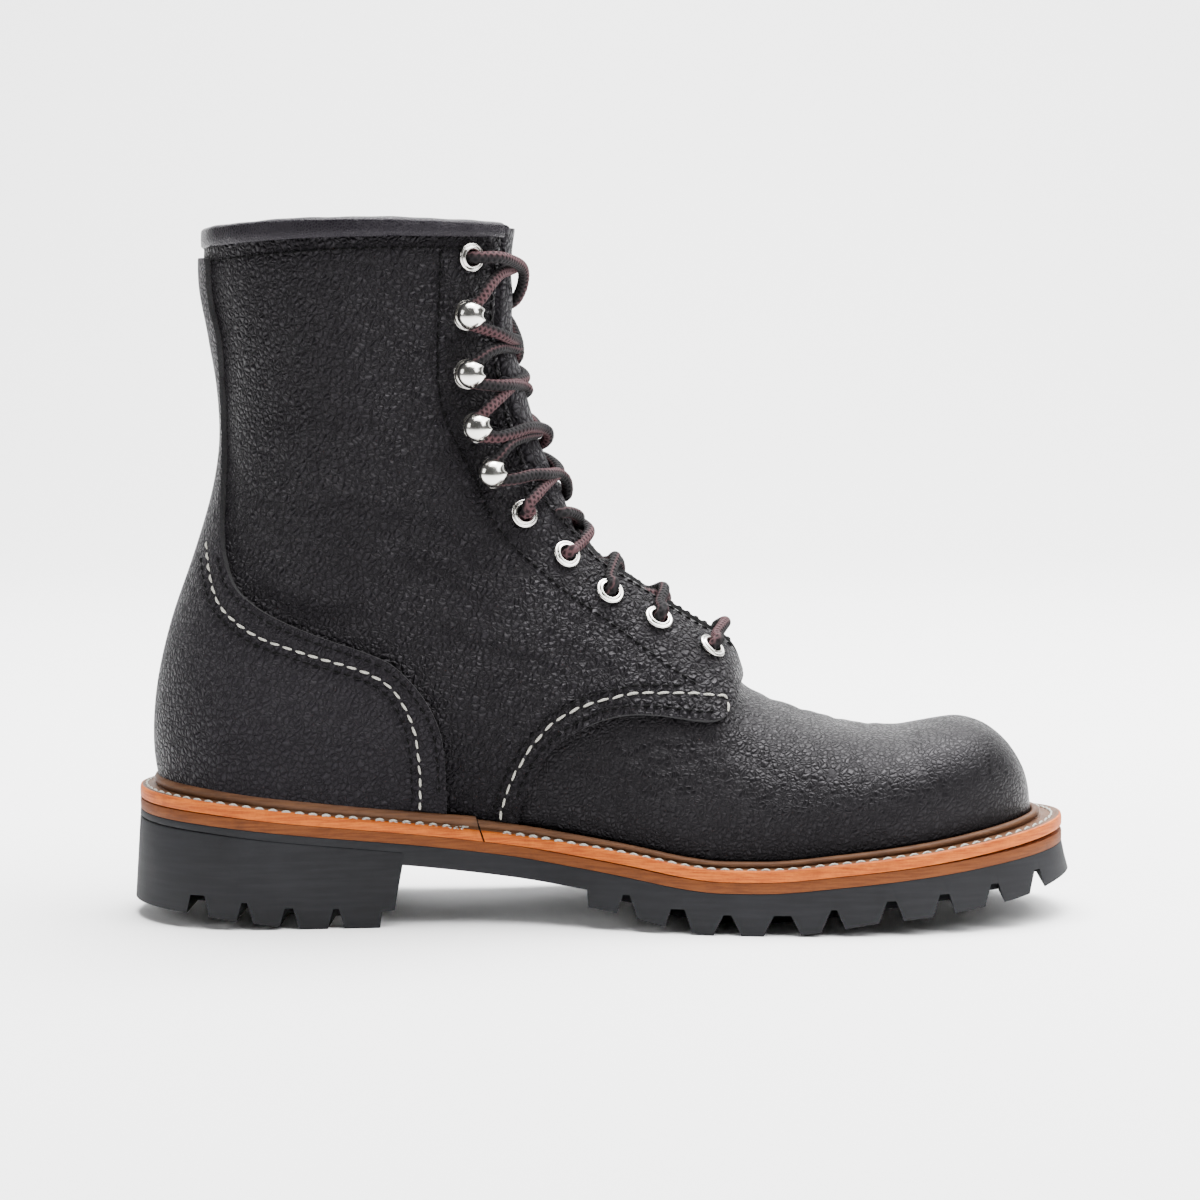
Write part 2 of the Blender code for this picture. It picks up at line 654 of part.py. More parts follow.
def outsole(finish):
    rest = [place(share) for share in BALL_REST]
    marks = station(np.array([BREAST_TOP - 1.0, BREAST_TOP, FORE_START - 2.1, FORE_START] + rest))
    base = ring(0.0, breaks=marks)[:, 0]
    top, low = ring(edge_reach(), breaks=marks), ring(edge_reach(RUBBER_FLARE), breaks=marks)
    sole = sole_level(top[:, 0]) - GAP
    thickness = np.where(base < BREAST_TOP - 0.5, HEEL_LIP, WAIST_RUBBER)
    resting = (base > rest[0] - 0.1) & (base < rest[1] + 0.1)
    tread = tread_level(np.where(resting, base, low[:, 0]))
    low_z = np.where(base > FORE_START - 1.0, tread, sole - thickness)
    made = plate("outsole", top, sole, low, low_z, finish)
    groove_set(made, "fore_groove", FORE_GROOVES)
    cut(made, channel("fore_channel", 4.0, 200.0, LUG_LENGTH, tread_level))
    return made


def heel(finish):
    top, low = ring(edge_reach()), ring(edge_reach(RUBBER_FLARE))
    top_z = sole_level(top[:, 0]) - GAP - HEEL_LIP - GAP
    last = int(np.argmax(top[:, 0] > BREAST_TOP + 6))
    made = plate("heel", top, top_z, low, tread_level(low[:, 0]), finish, keep=(0, last))
    high = float(sole_level(BREAST_TOP))
    step_z = BREAST_STEP + 1.2
    lean = BREAST_TOP - BREAST_LEAN
    breast = [(BREAST_TOP + 40, -4), (BREAST_TOP + 40, high), (BREAST_TOP - 1.8, high), (lean, step_z),
              (lean - BREAST_STEP, step_z), (lean - BREAST_STEP - 1.2, -4)]
    cut(made, prism("breast_cut", breast))
    groove_set(made, "heel_groove", HEEL_GROOVES)
    return made


def midsole(finish):
    outline = ring(edge_reach())
    low = sole_level(outline[:, 0])
    return plate("midsole", outline, low + MIDSOLE_THICKNESS, outline, low, finish)


def lean(loop, out, rise):
    """How far the upper's wall has moved out from its lower edge at a height above it."""
    near, far = np.full(len(loop), -1.0), np.full(len(loop), 9.0)
    z = feather_level(loop[:, 0]) + rise
    for _ in range(16):
        middle = (near + far) / 2
        x, y = (loop + out * middle[:, None]).T
        off = y - centre_at(x, z)
        wide = np.where(off < 0, half_squared(x, z, -1), half_squared(x, z, 1))
        inside = off ** 2 < wide
        near, far = np.where(inside, middle, near), np.where(inside, far, middle)
    return np.maximum((near + far) / 2, 0.0)


def welt(finish):
    base, out = ring(0.0), ring(1.0) - ring(0.0)
    x = base[:, 0]
    rib = foot("rib", x)
    edge, inside, clear = foot("extension", x), -(WALL + 1.2) + 0 * x, foot("rib_gap", x)
    full, part = clear + lean(base, out, rib), clear + lean(base, out, 0.5 * rib)
    profile = [
        (edge, 0 * x), (edge, WELT_THICKNESS + 0 * x), (full + RIB_WIDTH, WELT_THICKNESS + 0 * x),
        (full + RIB_WIDTH - 0.5, WELT_THICKNESS + 0.75 * rib), (full + RIB_WIDTH * 0.5, WELT_THICKNESS + rib),
        (full, WELT_THICKNESS + 0.9 * rib), (part, WELT_THICKNESS + 0.4 * rib),
        (clear, WELT_THICKNESS + 0 * x), (inside, WELT_THICKNESS + 0 * x), (inside, 0 * x)]
    points, faces = [], []
    for reach, rise in profile:
        loop = base + out * reach[:, None]
        points += [(px, py, pz) for (px, py), pz in zip(loop, welt_level(loop[:, 0]) + rise)]
    n, m = len(base), len(profile)
    for p in range(m):
        for k in range(n):
            q, j = (p + 1) % m, (k + 1) % n
            faces.append((p * n + k, p * n + j, q * n + j, q * n + k))
    return solid("welt", points, faces, finish)


def insole(finish):
    outline = ring(-(WALL + 1.2) - GAP)
    low = welt_level(outline[:, 0])
    return plate("insole", outline, low + INSOLE_THICKNESS, outline, low, finish)


def quarter_lift(x, z):
    """Rise of the quarter over the vamp: full along its front and lower edge, and more where the
    facings stand up at the foot of the throat."""
    lean = x - 0.2 * (z - 34)
    full = ease((lean + 46) / 18)
    tab = 4.3 * np.exp(-((x - 44) / 9) ** 2) * ease((z - 70) / 20)
    return -0.6 + (QUARTER_STEP + 0.6) * full + tab


def edge_prism(name, edge, closing):
    line = rounded([(place(s), h * COLLAR_HEIGHT) for s, h in edge], 3)
    return prism(name, [tuple(p) for p in line] + closing)


def rib_run(first, last, count=9):
    """Outline points just above the welt's rib, from one place along the boot to another."""
    xs = np.linspace(first, last, count)
    return [(float(x), float(rib_level(x)) + GAP) for x in xs]


def throat_cutter():
    """Cutter for the throat: right through the wall, then only the quarter that lies on the vamp."""
    shares = np.concatenate([np.linspace(0, THROAT_END, 14), np.linspace(THROAT_END + 0.008, 0.62, 5)])
    line = by_share(FRONT_LINE, shares)
    way = np.gradient(line, axis=0)
    way /= np.linalg.norm(way, axis=1, keepdims=True)
    out = np.stack([-way[:, 1], way[:, 0]], axis=-1)
    line = np.vstack([line[0] - way[0] * 12, line])
    out = np.vstack([out[0], out])
    half = along(THROAT["front"], THROAT["half"], np.concatenate([[0], shares]))
    deep = np.where(np.concatenate([[0], shares]) > THROAT_END, -0.3, -13.0)
    points, faces = [], []
    for (x, z), (nx, nz), gap, low in zip(line, out, half, deep):
        mid = float(centre_at(x, z))
        for lift, y in ((16, -gap), (16, gap), (low, gap), (low, -gap)):
            points.append((x + nx * lift, mid + y, z + nz * lift))
    for i in range(len(line) - 1):
        for k in range(4):
            a, b = 4 * i + k, 4 * i + (k + 1) % 4
            faces.append((a, b, b + 4, a + 4))
    last = 4 * (len(line) - 1)
    faces += [(3, 2, 1, 0), (last, last + 1, last + 2, last + 3)]
    return solid("throat_cut", points, faces, tool=True)


def step_over(x, z):
    return max(0.0, float(quarter_lift(x, z)))


def stay_places():
    for k, (share, across, hook) in enumerate(zip(*(STAYS[c] for c in ("front", "across", "hook")))):
        for side, tag in ((-1, "inner"), (1, "outer")):
            point, normal = over_front(share, side * across, step_over)
            yield k + 1, tag, bool(hook), point, normal


def upper(finish):
    outside = form_grid()
    normals = normals_of(outside, level_rows=(0,))
    made = shell("upper", outside, outside - normals * WALL, finish)
    lift = quarter_lift(outside[..., 0], outside[..., 2])[..., None]
    quarter = shell("quarter_over_vamp", outside + normals * lift, outside - normals * WALL * 0.6, tool=True)
    first = QUARTER_EDGE[0]
    top = [(place(first[0]) + 2, 116.0), (-60.0, 236.0), (-66.0, 60.0)]
    low = rib_run(-66.0, float(place(QUARTER_EDGE[-1][0])))
    edge = [p for p in QUARTER_EDGE if p[1] * COLLAR_HEIGHT > rib_level(place(p[0])) + 1]
    cut(quarter, edge_prism("quarter_edge", edge, low[::-1] + top[::-1]), "INTERSECT")
    cut(made, quarter, "UNION")
    cut(made, throat_cutter())
    wide = EYELET_BORE + 0.8
    for number, tag, hook, point, normal in stay_places():
        if not hook:
            cut(made, turned(f"eyelet_hole_{tag}_{number}", [(0, -9), (wide, -9), (wide, 6), (0, 6)], False,
                             None, point, normal, tool=True))
    return made


def counter(finish):
    grid = form_grid()
    covered = int(np.argmax(grid[:, 0, 0] > place(COUNTER_EDGE[-1][0]) + 12)) + 1
    outside = grid[:covered]
    normals = normals_of(grid, level_rows=(0,))[:covered]
    made = shell("counter", outside + normals * (GAP + COUNTER_THICKNESS), outside + normals * GAP, finish)
    last = float(place(COUNTER_EDGE[-1][0]))
    edge = [p for p in COUNTER_EDGE if p[1] * COLLAR_HEIGHT > rib_level(place(p[0])) + 1]
    low = rib_run(last, -155.0)
    top = COUNTER_EDGE[0][1] * COLLAR_HEIGHT
    tool = edge_prism("counter_edge", edge, low + [(-160.0, low[-1][1]), (-160.0, top)])
    cut(made, tool, "INTERSECT")
    return made


def collar_binding(finish):
    grid = form_grid()
    edge, out = grid[0], normals_of(grid, level_rows=(0,))[0]
    half = THROAT["half"][0] + GAP
    middle = SIDE_COUNT
    ends = []
    for way in (-1, 1):
        k = middle
        while abs(edge[k, 1]) < half:
            k += way
        part = (half - abs(edge[k - way, 1])) / (abs(edge[k, 1]) - abs(edge[k - way, 1]))
        ends.append(k - way + way * part)
    whole = len(edge) - 1
    run = list(np.arange(np.floor(ends[0]), 0, -1)) + list(np.arange(whole, np.ceil(ends[1]) - 1, -1))
    run = np.array([ends[0]] + run + [ends[1]])
    index = np.arange(len(edge))
    path = np.stack([np.interp(run, index, edge[:, k]) for k in range(3)], axis=-1)
    away = np.stack([np.interp(run, index, out[:, k]) for k in range(3)], axis=-1)
    away /= np.linalg.norm(away, axis=1, keepdims=True)
    skin, inner = BINDING_SKIN, -WALL - GAP
    profile = [
        (GAP, -BINDING_DROP), (GAP + skin, -BINDING_DROP), (GAP + skin, 0.2), (GAP + skin * 0.4, GAP + skin * 0.8),
        (-WALL / 2, GAP + skin), (inner - skin * 0.4, GAP + skin * 0.8), (inner - skin, 0.2),
        (inner - skin, -BINDING_DROP), (inner, -BINDING_DROP), (inner, GAP), (GAP, GAP)]
    points = []
    for centre, side in zip(path, away):
        points += [centre + side * reach + np.array([0, 0, rise]) for reach, rise in profile]
    n = len(profile)
    faces = [list(range(n)), list(range(len(points) - 1, len(points) - n - 1, -1))]
    for i in range(len(path) - 1):
        for k in range(n):
            a, b = i * n + k, i * n + (k + 1) % n
            faces.append((a, b, b + n, a + n))
    return solid("collar_binding", points, faces, finish)


def tongue(finish):
    shares = np.linspace(0.004, 0.56, 15)
    across = np.linspace(-1, 1, 11)
    rows, sink = [], []
    for share in shares:
        half = TONGUE_HALF * (0.62 + 0.38 * ease((0.6 - share) / 0.35))
        gap = float(along(THROAT["front"], THROAT["half"], share)) * ease((0.5 - share) / 0.1)
        rows.append([over_front(share, half * a)[0] for a in across])
        hidden = ease((np.abs(half * across) - gap + 4) / 3.5)
        sink.append(TONGUE_SINK + 1.1 * hidden + 0.9 * ease((0.12 - share) / 0.08))
    surface, sink = np.array(rows), np.array(sink)[..., None]
    normals = -normals_of(surface)
    if np.mean(normals[:, len(across) // 2, 0]) < 0:
        normals = -normals
    return shell("tongue", surface - normals * sink, surface - normals * (sink + TONGUE_THICKNESS), finish)


def eyelet(name, point, normal, finish):
    reach, seat = WALL + GAP, 2 * GAP
    profile = [
        (EYELET_BORE, -reach), (EYELET_BORE + 0.5, -reach), (EYELET_BORE + 0.5, seat), (EYELET_RADIUS, seat),
        (EYELET_RADIUS - 0.6, seat + EYELET_RISE), (EYELET_BORE, seat + EYELET_RISE - 0.3)]
    return turned(name, profile, True, finish, point, normal)


def hook(name, point, normal, finish):
    profile = [
        (0, GAP), (HOOK_RADIUS + 0.2, GAP), (HOOK_RADIUS, GAP + 0.9), (HOOK_NECK, GAP + 1.4),
        (HOOK_NECK, HOOK_HEIGHT - 3.6), (HOOK_RADIUS, HOOK_HEIGHT - 3.3), (HOOK_RADIUS - 0.9, HOOK_HEIGHT - 1.2),
        (0, HOOK_HEIGHT)]
    return turned(name, profile, False, finish, point, normal)


def stays(finish):
    for number, tag, is_hook, point, normal in stay_places():
        if is_hook:
            hook(f"hook_{tag}_{number - 5}", point, normal, finish)
        else:
            eyelet(f"eyelet_{tag}_{number if number < 6 else 6}", point, normal, finish)


# Laces: the visible runs, each clear of leather and metal

def lace_run(share_a, across_a, share_b, across_b, rise_a, rise_b, steps=6, sink=True):
    """Path over the tongue between two places of the front, from one height over the leather to
    another. It sinks between the facings where they stand wide apart."""
    path = []
    for t in np.linspace(0, 1, steps + 1):
        share = share_a + (share_b - share_a) * t
        across = across_a + (across_b - across_a) * t
        gap = float(along(THROAT["front"], THROAT["half"], share))
        part = ease((gap + 1.0 - abs(across)) / (0.6 * gap)) * np.clip((gap - 6) / 8, 0, 1) if sink else 0.0
        rise = rise_a + (rise_b - rise_a) * t - LACE_SINK * part
        path.append(over_front(share, across, lambda x, z: step_over(x, z) * (1 - part) + rise)[0])
    return path


def union(name, paths, finish):
    made = tube(name, paths[0], LACE_RADIUS, finish)
    for k, path in enumerate(paths[1:]):
        cut(made, tube(f"{name}_run_{k + 2}", path, LACE_RADIUS, tool=True), "UNION")
    return made


def laces(finish):
    places = list(zip(STAYS["front"], STAYS["across"]))
    share, across = places[0]
    union("lace_bar", [lace_run(share, -across, share, across, LACE_OVER_EYELET, LACE_OVER_EYELET, 10, False)],
          finish)
    for k in (1, 2, 3):
        (share, across), (ahead, _) = places[k], places[k + 1]
        end = share + 0.8 * (ahead - share)
        stop = float(along(THROAT["front"], THROAT["half"], end)) - 3.6
        paths = [lace_run(share, -side * across, end, side * stop, LACE_OVER_EYELET, LACE_OVER_EYELET - 1)
                 for side in (1, -1)]
        union(f"lace_cross_{k + 1}", paths, finish)
    union("laces_upper", [hooked(places, side) for side in (1, -1)], finish)


def hooked(places, side):
    """One lace from the top eyelet of the instep, round the hooks in turn, to the collar eyelet."""
    level = (GAP + 1.4 + HOOK_HEIGHT - 3.6) / 2
    wrap = HOOK_NECK + LACE_RADIUS + 0.35
    share, across = places[4]
    path, at, out = [], share, -side * across
    rise = LACE_OVER_EYELET
    for k in range(5, 9):
        share, across = places[k]
        side_now = side if k % 2 else -side
        turn_share = wrap / FRONT_LENGTH
        path += lace_run(at, out, share + turn_share, side_now * (across - 1.2), rise, level)[:-1]
        point, normal = over_front(share, side_now * across, step_over)
        up = over_front(share - 0.01, side_now * across)[0] - over_front(share + 0.01, side_now * across)[0]
        up -= normal * np.dot(up, normal)
        up /= np.linalg.norm(up)
        away = np.cross(normal, up) * (1 if np.cross(normal, up)[1] * side_now > 0 else -1)
        for turn in np.linspace(-pi / 2, pi / 2, 4):
            path.append(point + normal * level + wrap * (sin(turn) * up + cos(turn) * away))
        at, out, rise = share - turn_share, side_now * (across - 1.2), level
    share, across = places[9]
    path += lace_run(at, out, share, -side_now * (across - 1.0), rise, LACE_OVER_EYELET)[1:]
    return path


def build():
    for old in list(bpy.data.objects):
        bpy.data.objects.remove(old, do_unlink=True)
    rubber = material("black rubber", (0.045, 0.045, 0.052), 0.75)
    cork = material("brown midsole", (0.30, 0.13, 0.06), 0.6)
    edge = material("orange welt leather", (0.58, 0.27, 0.10), 0.5)
    leather = material("black pebbled leather", (0.028, 0.027, 0.030), 0.5)
    counter_leather = material("black counter leather", (0.024, 0.024, 0.028), 0.5)
    smooth = material("smooth binding leather", (0.05, 0.05, 0.053), 0.4)
    tongue_leather = material("tongue leather", (0.035, 0.033, 0.036), 0.6)
    insole_leather = material("insole leather", (0.35, 0.22, 0.12), 0.7)
    cord = material("black lace", (0.02, 0.018, 0.02), 0.8)
    nickel = material("nickel", (0.72, 0.70, 0.66), 0.2, 1.0)

    outsole(rubber)
    heel(rubber)
    midsole(cork)
    welt(edge)
    insole(insole_leather)
    upper(leather)
    counter(counter_leather)
    collar_binding(smooth)
    tongue(tongue_leather)
    stays(nickel)
    laces(cord)


build()
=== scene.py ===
# Dresses the logger boot's frame: leather, stitching, laces, metal and sole, with studio light
import random
from math import asin, cos, pi, radians, sin

import bpy
import numpy as np
from mathutils import Matrix, Vector


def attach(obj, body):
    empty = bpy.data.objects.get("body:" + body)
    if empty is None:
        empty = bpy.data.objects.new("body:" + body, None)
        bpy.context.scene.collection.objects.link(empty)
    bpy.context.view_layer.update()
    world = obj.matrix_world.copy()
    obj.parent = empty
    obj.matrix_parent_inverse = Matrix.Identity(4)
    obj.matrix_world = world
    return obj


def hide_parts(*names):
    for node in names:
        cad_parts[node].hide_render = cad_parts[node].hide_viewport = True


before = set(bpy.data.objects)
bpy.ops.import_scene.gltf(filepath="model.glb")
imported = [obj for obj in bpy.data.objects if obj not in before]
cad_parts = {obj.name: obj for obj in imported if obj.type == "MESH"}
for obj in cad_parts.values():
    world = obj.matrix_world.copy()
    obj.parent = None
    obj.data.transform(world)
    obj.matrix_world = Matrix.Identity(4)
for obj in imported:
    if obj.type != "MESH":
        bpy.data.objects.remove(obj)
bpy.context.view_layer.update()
mm = 0.001
random.seed(11)


# Tables and curves

def table(columns, rows):
    return {name: np.array([row[i] for row in rows], float) for i, name in enumerate(columns)}


def along(xs, ys, at):
    # smooth curve through a table's points, without overshoot
    at = np.clip(np.asarray(at, float), xs[0], xs[-1])
    step = np.diff(xs)
    slope = np.diff(ys) / step
    ends = np.zeros(len(xs))
    left, right = slope[:-1], slope[1:]
    same = left * right > 0
    wide = 2 * step[1:] + step[:-1]
    near = step[1:] + 2 * step[:-1]
    inner = ends[1:-1]
    inner[same] = (wide + near)[same] / (wide[same] / left[same] + near[same] / right[same])
    ends[0], ends[-1] = slope[0], slope[-1]
    k = np.clip(np.searchsorted(xs, at, side="right") - 1, 0, len(step) - 1)
    t = (at - xs[k]) / step[k]
    value = (1 + 2 * t) * (1 - t) ** 2 * ys[k] + t * t * (3 - 2 * t) * ys[k + 1]
    return value + step[k] * (t * (1 - t) ** 2 * ends[k] - t * t * (1 - t) * ends[k + 1])


def softened(xs, ys, spread):
    # the same curve with its bends eased over a distance, kept as a fine table
    fine = np.linspace(xs[0], xs[-1], 800)
    values = along(xs, ys, fine)
    reach = int(3 * spread / (fine[1] - fine[0])) + 1
    weight = np.exp(-0.5 * (np.arange(-reach, reach + 1) * (fine[1] - fine[0]) / spread) ** 2)
    before = 2 * values[0] - values[reach:0:-1]
    after = 2 * values[-1] - values[-2:-reach - 2:-1]
    padded = np.concatenate([before, values, after])
    return fine, np.convolve(padded, weight / weight.sum(), mode="valid")


def rounded(points, count=16):
    points = np.asarray(points, float)
    path = np.vstack([2 * points[0] - points[1], points, 2 * points[-1] - points[-2]])
    out = []
    for a, b, c, d in zip(path, path[1:], path[2:], path[3:]):
        t1 = np.linalg.norm(b - a) ** 0.5
        t2 = t1 + np.linalg.norm(c - b) ** 0.5
        t3 = t2 + np.linalg.norm(d - c) ** 0.5
        t = np.linspace(t1, t2, count, endpoint=False)[:, None]
        ab = ((t1 - t) * a + t * b) / t1
        bc = ((t2 - t) * b + (t - t1) * c) / (t2 - t1)
        cd = ((t3 - t) * c + (t - t2) * d) / (t3 - t2)
        abc = ((t2 - t) * ab + t * bc) / t2
        bcd = ((t3 - t) * bc + (t - t1) * cd) / (t3 - t1)
        out.append(((t2 - t) * abc + (t - t1) * bcd) / (t2 - t1))
    return np.vstack(out + [points[-1:]])


def ease(value):
    value = np.clip(value, 0, 1)
    return value * value * (3 - 2 * value)


def lengths(line):
    return np.concatenate([[0], np.cumsum(np.linalg.norm(np.diff(line, axis=0), axis=1))])


def atRun(line, run, at):
    # places of a line at distances along it
    return np.stack([np.interp(at, run, line[:, k]) for k in range(line.shape[1])], axis=-1)


def evenly(line, count):
    run = lengths(line)
    return atRun(line, run, np.linspace(0, run[-1], count))


def byShare(line, share):
    run = lengths(line)
    return atRun(line, run, np.asarray(share) * run[-1])


# The last's form, in millimetres, as in the frame

last = {"length": 286.0, "heelX": -144.0, "ballWidth": 96.0, "instepRise": 93.8, "shaftRise": 105.0,
        "collarHeight": 226.0, "collarArch": 2.2}
layers = {"gap": 0.3, "seatGap": 0.5, "heelLevel": 35.6, "ballLevel": 13.1, "toeLevel": 25.2,
          "toeSpring": 14.0, "heelSpring": 5.6, "lugDepth": 6.4, "waistRubber": 6.3, "heelLip": 2.2,
          "rubberFlare": 2.2, "midsole": 3.3, "welt": 3.8}
leather = {"wall": 2.2, "quarterStep": 2.0, "counter": 1.7, "tongue": 2.2, "tongueSink": 2.6}
blend = {"waist": 0.09, "waistOver": 30.0, "slope": 0.42, "back": 8.0, "over": 60.0, "lowOver": 24.0,
         "centreTop": 150.0, "centreOver": 60.0}
lap = {"lean": 0.2, "z": 34.0, "x": -50.0, "over": 24.0}
tab = {"height": 4.3, "x": 44.0, "spread": 9.0, "z": 70.0, "over": 20.0}

soleLine = table(("station", "share"), [
    (-0.04, 1.0), (0.06, 0.92), (0.16, 0.765), (0.285, 0.60), (0.375, 0.46), (0.465, 0.31),
    (0.553, 0.163), (0.608, 0.045), (0.643, 0.0), (0.69, 0.0), (0.775, -0.165), (0.866, -0.386),
    (0.957, -0.69), (1.04, -1.0)])
treadLine = table(("station", "share"), [
    (-0.04, 1.0), (0.02, 0.93), (0.11, 0.45), (0.185, 0.0), (0.30, 0.0), (0.40, -0.6), (0.50, -0.49),
    (0.53, -0.40), (0.572, -0.21), (0.608, -0.06), (0.633, 0.0), (0.706, 0.0), (0.738, -0.05),
    (0.776, -0.16), (0.818, -0.29), (0.87, -0.38), (0.923, -0.52), (0.975, -0.67), (1.04, -1.0)])
footTable = table(
    ("station", "inner", "outer", "centre", "crown", "bulge", "extension", "rib", "ribGap"), [
        (0.000, 0.345, 0.345, 0.0, 2.4, 1.5, 8.0, 3.8, 0.4),
        (0.136, 0.345, 0.345, 0.0, 2.2, 2.5, 5.6, 3.8, 0.4),
        (0.240, 0.325, 0.345, 0.0, 1.9, 3.0, 5.0, 3.6, 0.5),
        (0.330, 0.290, 0.345, 0.0, 1.7, 4.0, 5.0, 3.2, 0.6),
        (0.420, 0.270, 0.365, -0.5, 1.45, 4.5, 5.2, 2.9, 0.6),
        (0.500, 0.320, 0.425, -1.5, 1.4, 3.5, 5.6, 2.6, 0.5),
        (0.590, 0.400, 0.475, -2.5, 1.6, 2.5, 6.2, 2.3, 0.4),
        (0.670, 0.432, 0.527, -3.0, 2.0, 2.0, 6.5, 2.2, 0.4),
        (0.780, 0.440, 0.532, -4.0, 2.3, 1.8, 7.2, 2.3, 0.4),
        (0.900, 0.440, 0.524, -4.5, 2.6, 1.5, 8.6, 2.6, 0.4),
        (1.000, 0.440, 0.515, -4.5, 2.6, 1.0, 10.0, 3.0, 0.4)])
shaftTable = table(("height", "half", "middle", "rear", "front"), [
    (0.155, 0.349, 0.140, 2.3, 3.5), (0.243, 0.378, 0.143, 2.25, 3.4), (0.332, 0.385, 0.154, 2.2, 3.0),
    (0.442, 0.377, 0.178, 2.1, 2.3), (0.553, 0.371, 0.210, 2.0, 1.75), (0.664, 0.377, 0.231, 2.0, 1.45),
    (0.796, 0.392, 0.231, 2.0, 1.35), (0.907, 0.408, 0.227, 2.0, 1.35), (1.018, 0.419, 0.224, 2.0, 1.35)])
ends = {"toeStart": 0.66, "toePower": 2.75, "heelStart": 0.136, "heelPower": 2.3, "belly": 13.0,
        "bellyShare": 0.33}
ridgeFoot = [
    (1.000, 0.020), (0.9985, 0.061), (0.9955, 0.133), (0.9875, 0.207), (0.971, 0.286),
    (0.946, 0.354), (0.9185, 0.388), (0.8915, 0.390), (0.864, 0.383), (0.836, 0.386),
    (0.808, 0.399), (0.7535, 0.455), (0.6985, 0.540), (0.671, 0.591), (0.647, 0.692),
    (0.6295, 0.751), (0.603, 0.813), (0.548, 0.905), (0.499, 1.004)]
ridgeShaft = [
    (0.481, 0.127), (0.4615, 0.240), (0.437, 0.410), (0.4225, 0.562), (0.4145, 0.667),
    (0.4125, 0.800), (0.4145, 1.000)]
backPoints = [
    (0.989, 0.0595), (0.912, 0.0577), (0.841, 0.0671), (0.770, 0.0769), (0.699, 0.0783),
    (0.633, 0.0699), (0.527, 0.0455), (0.420, 0.0185), (0.314, -0.0007), (0.243, -0.0052)]
sections = table(("front", "back"), [
    (0.0, 0.0), (0.092, 0.073), (0.159, 0.142), (0.213, 0.218), (0.262, 0.291), (0.305, 0.353),
    (0.339, 0.403), (0.367, 0.441), (0.395, 0.484), (0.428, 0.550), (0.466, 0.625), (0.506, 0.695),
    (0.548, 0.760), (0.590, 0.812), (0.640, 0.862), (0.690, 0.902), (0.745, 0.946), (0.802, 1.0),
    (0.835, 1.0), (0.870, 1.0), (0.905, 1.0), (0.945, 1.0), (0.975, 1.0), (1.0, 1.0)])
throat = table(("front", "half"), [
    (0.0, 12.5), (0.16, 15.2), (0.25, 15.4), (0.30, 14.0), (0.34, 10.5), (0.37, 7.0), (0.42, 5.6),
    (0.53, 5.0), (0.70, 5.0)])
quarterEdge = [
    (0.664, 0.420), (0.668, 0.362), (0.661, 0.330), (0.652, 0.300), (0.638, 0.292), (0.575, 0.3005),
    (0.541, 0.300), (0.511, 0.291), (0.485, 0.2765), (0.463, 0.258), (0.4455, 0.235), (0.4325, 0.207),
    (0.423, 0.179), (0.415, 0.140)]
counterEdge = [
    (0.074, 0.952), (0.0745, 0.890), (0.0825, 0.835), (0.0853, 0.749), (0.0843, 0.634), (0.0836, 0.566),
    (0.0878, 0.529), (0.1024, 0.485), (0.1255, 0.459), (0.159, 0.436), (0.200, 0.4146), (0.240, 0.397),
    (0.276, 0.377), (0.3025, 0.3456), (0.321, 0.311), (0.332, 0.2726), (0.3357, 0.2235), (0.335, 0.130)]
stays = table(("front", "across", "hook"), [
    (0.5438, 15.3, 0), (0.4768, 15.1, 0), (0.4147, 14.8, 0), (0.3638, 16.6, 0), (0.3007, 20.6, 0),
    (0.2495, 22.9, 1), (0.2034, 23.2, 1), (0.1473, 22.8, 1), (0.0944, 21.8, 1), (0.0341, 21.9, 0)])


def easedTable(form, first, spread):
    return {name: softened(form[first], form[name], spread) for name in form if name != first}


footSoft = easedTable(footTable, "station", 0.018)
shaftSoft = easedTable(shaftTable, "height", 0.03)
soleSoft = softened(soleLine["station"], soleLine["share"], 0.01)


def station(x):
    return (np.asarray(x, float) - last["heelX"]) / last["length"]


def place(share):
    return last["heelX"] + np.asarray(share, float) * last["length"]


def foot(column, x):
    return np.interp(station(x), *footSoft[column])


def shaft(column, z):
    return np.interp(np.asarray(z, float) / last["collarHeight"], *shaftSoft[column])


def soleLevel(x):
    share = np.interp(station(x), *soleSoft)
    toHeel = layers["heelLevel"] - layers["ballLevel"]
    toToe = layers["ballLevel"] - layers["toeLevel"]
    return layers["ballLevel"] + share * np.where(share > 0, toHeel, toToe)


def treadLevel(x):
    share = along(treadLine["station"], treadLine["share"], station(x))
    return share * np.where(share > 0, layers["heelSpring"], -layers["toeSpring"])


def weltLevel(x):
    return soleLevel(x) + layers["midsole"] + layers["gap"]


def featherLevel(x):
    return weltLevel(x) + layers["welt"] + layers["seatGap"]


def endShare(x):
    toe = np.clip((station(x) - ends["toeStart"]) / (1 - ends["toeStart"]), 0, 1)
    heel = np.clip((ends["heelStart"] - station(x)) / ends["heelStart"], 0, 1)
    return np.sqrt(np.clip(1 - toe ** ends["toePower"] - heel ** ends["heelPower"], 0, 1))


def halfFeather(x, side):
    return foot("inner" if side < 0 else "outer", x) * last["ballWidth"] * endShare(x)


def ridgeLine():
    footPart = [(place(s), featherLevel(place(s)) + (rise - ridgeFoot[0][1]) * last["instepRise"])
                for s, rise in ridgeFoot]
    instep = footPart[-1][1]
    return rounded(footPart + [(place(s), instep + rise * last["shaftRise"]) for s, rise in ridgeShaft])


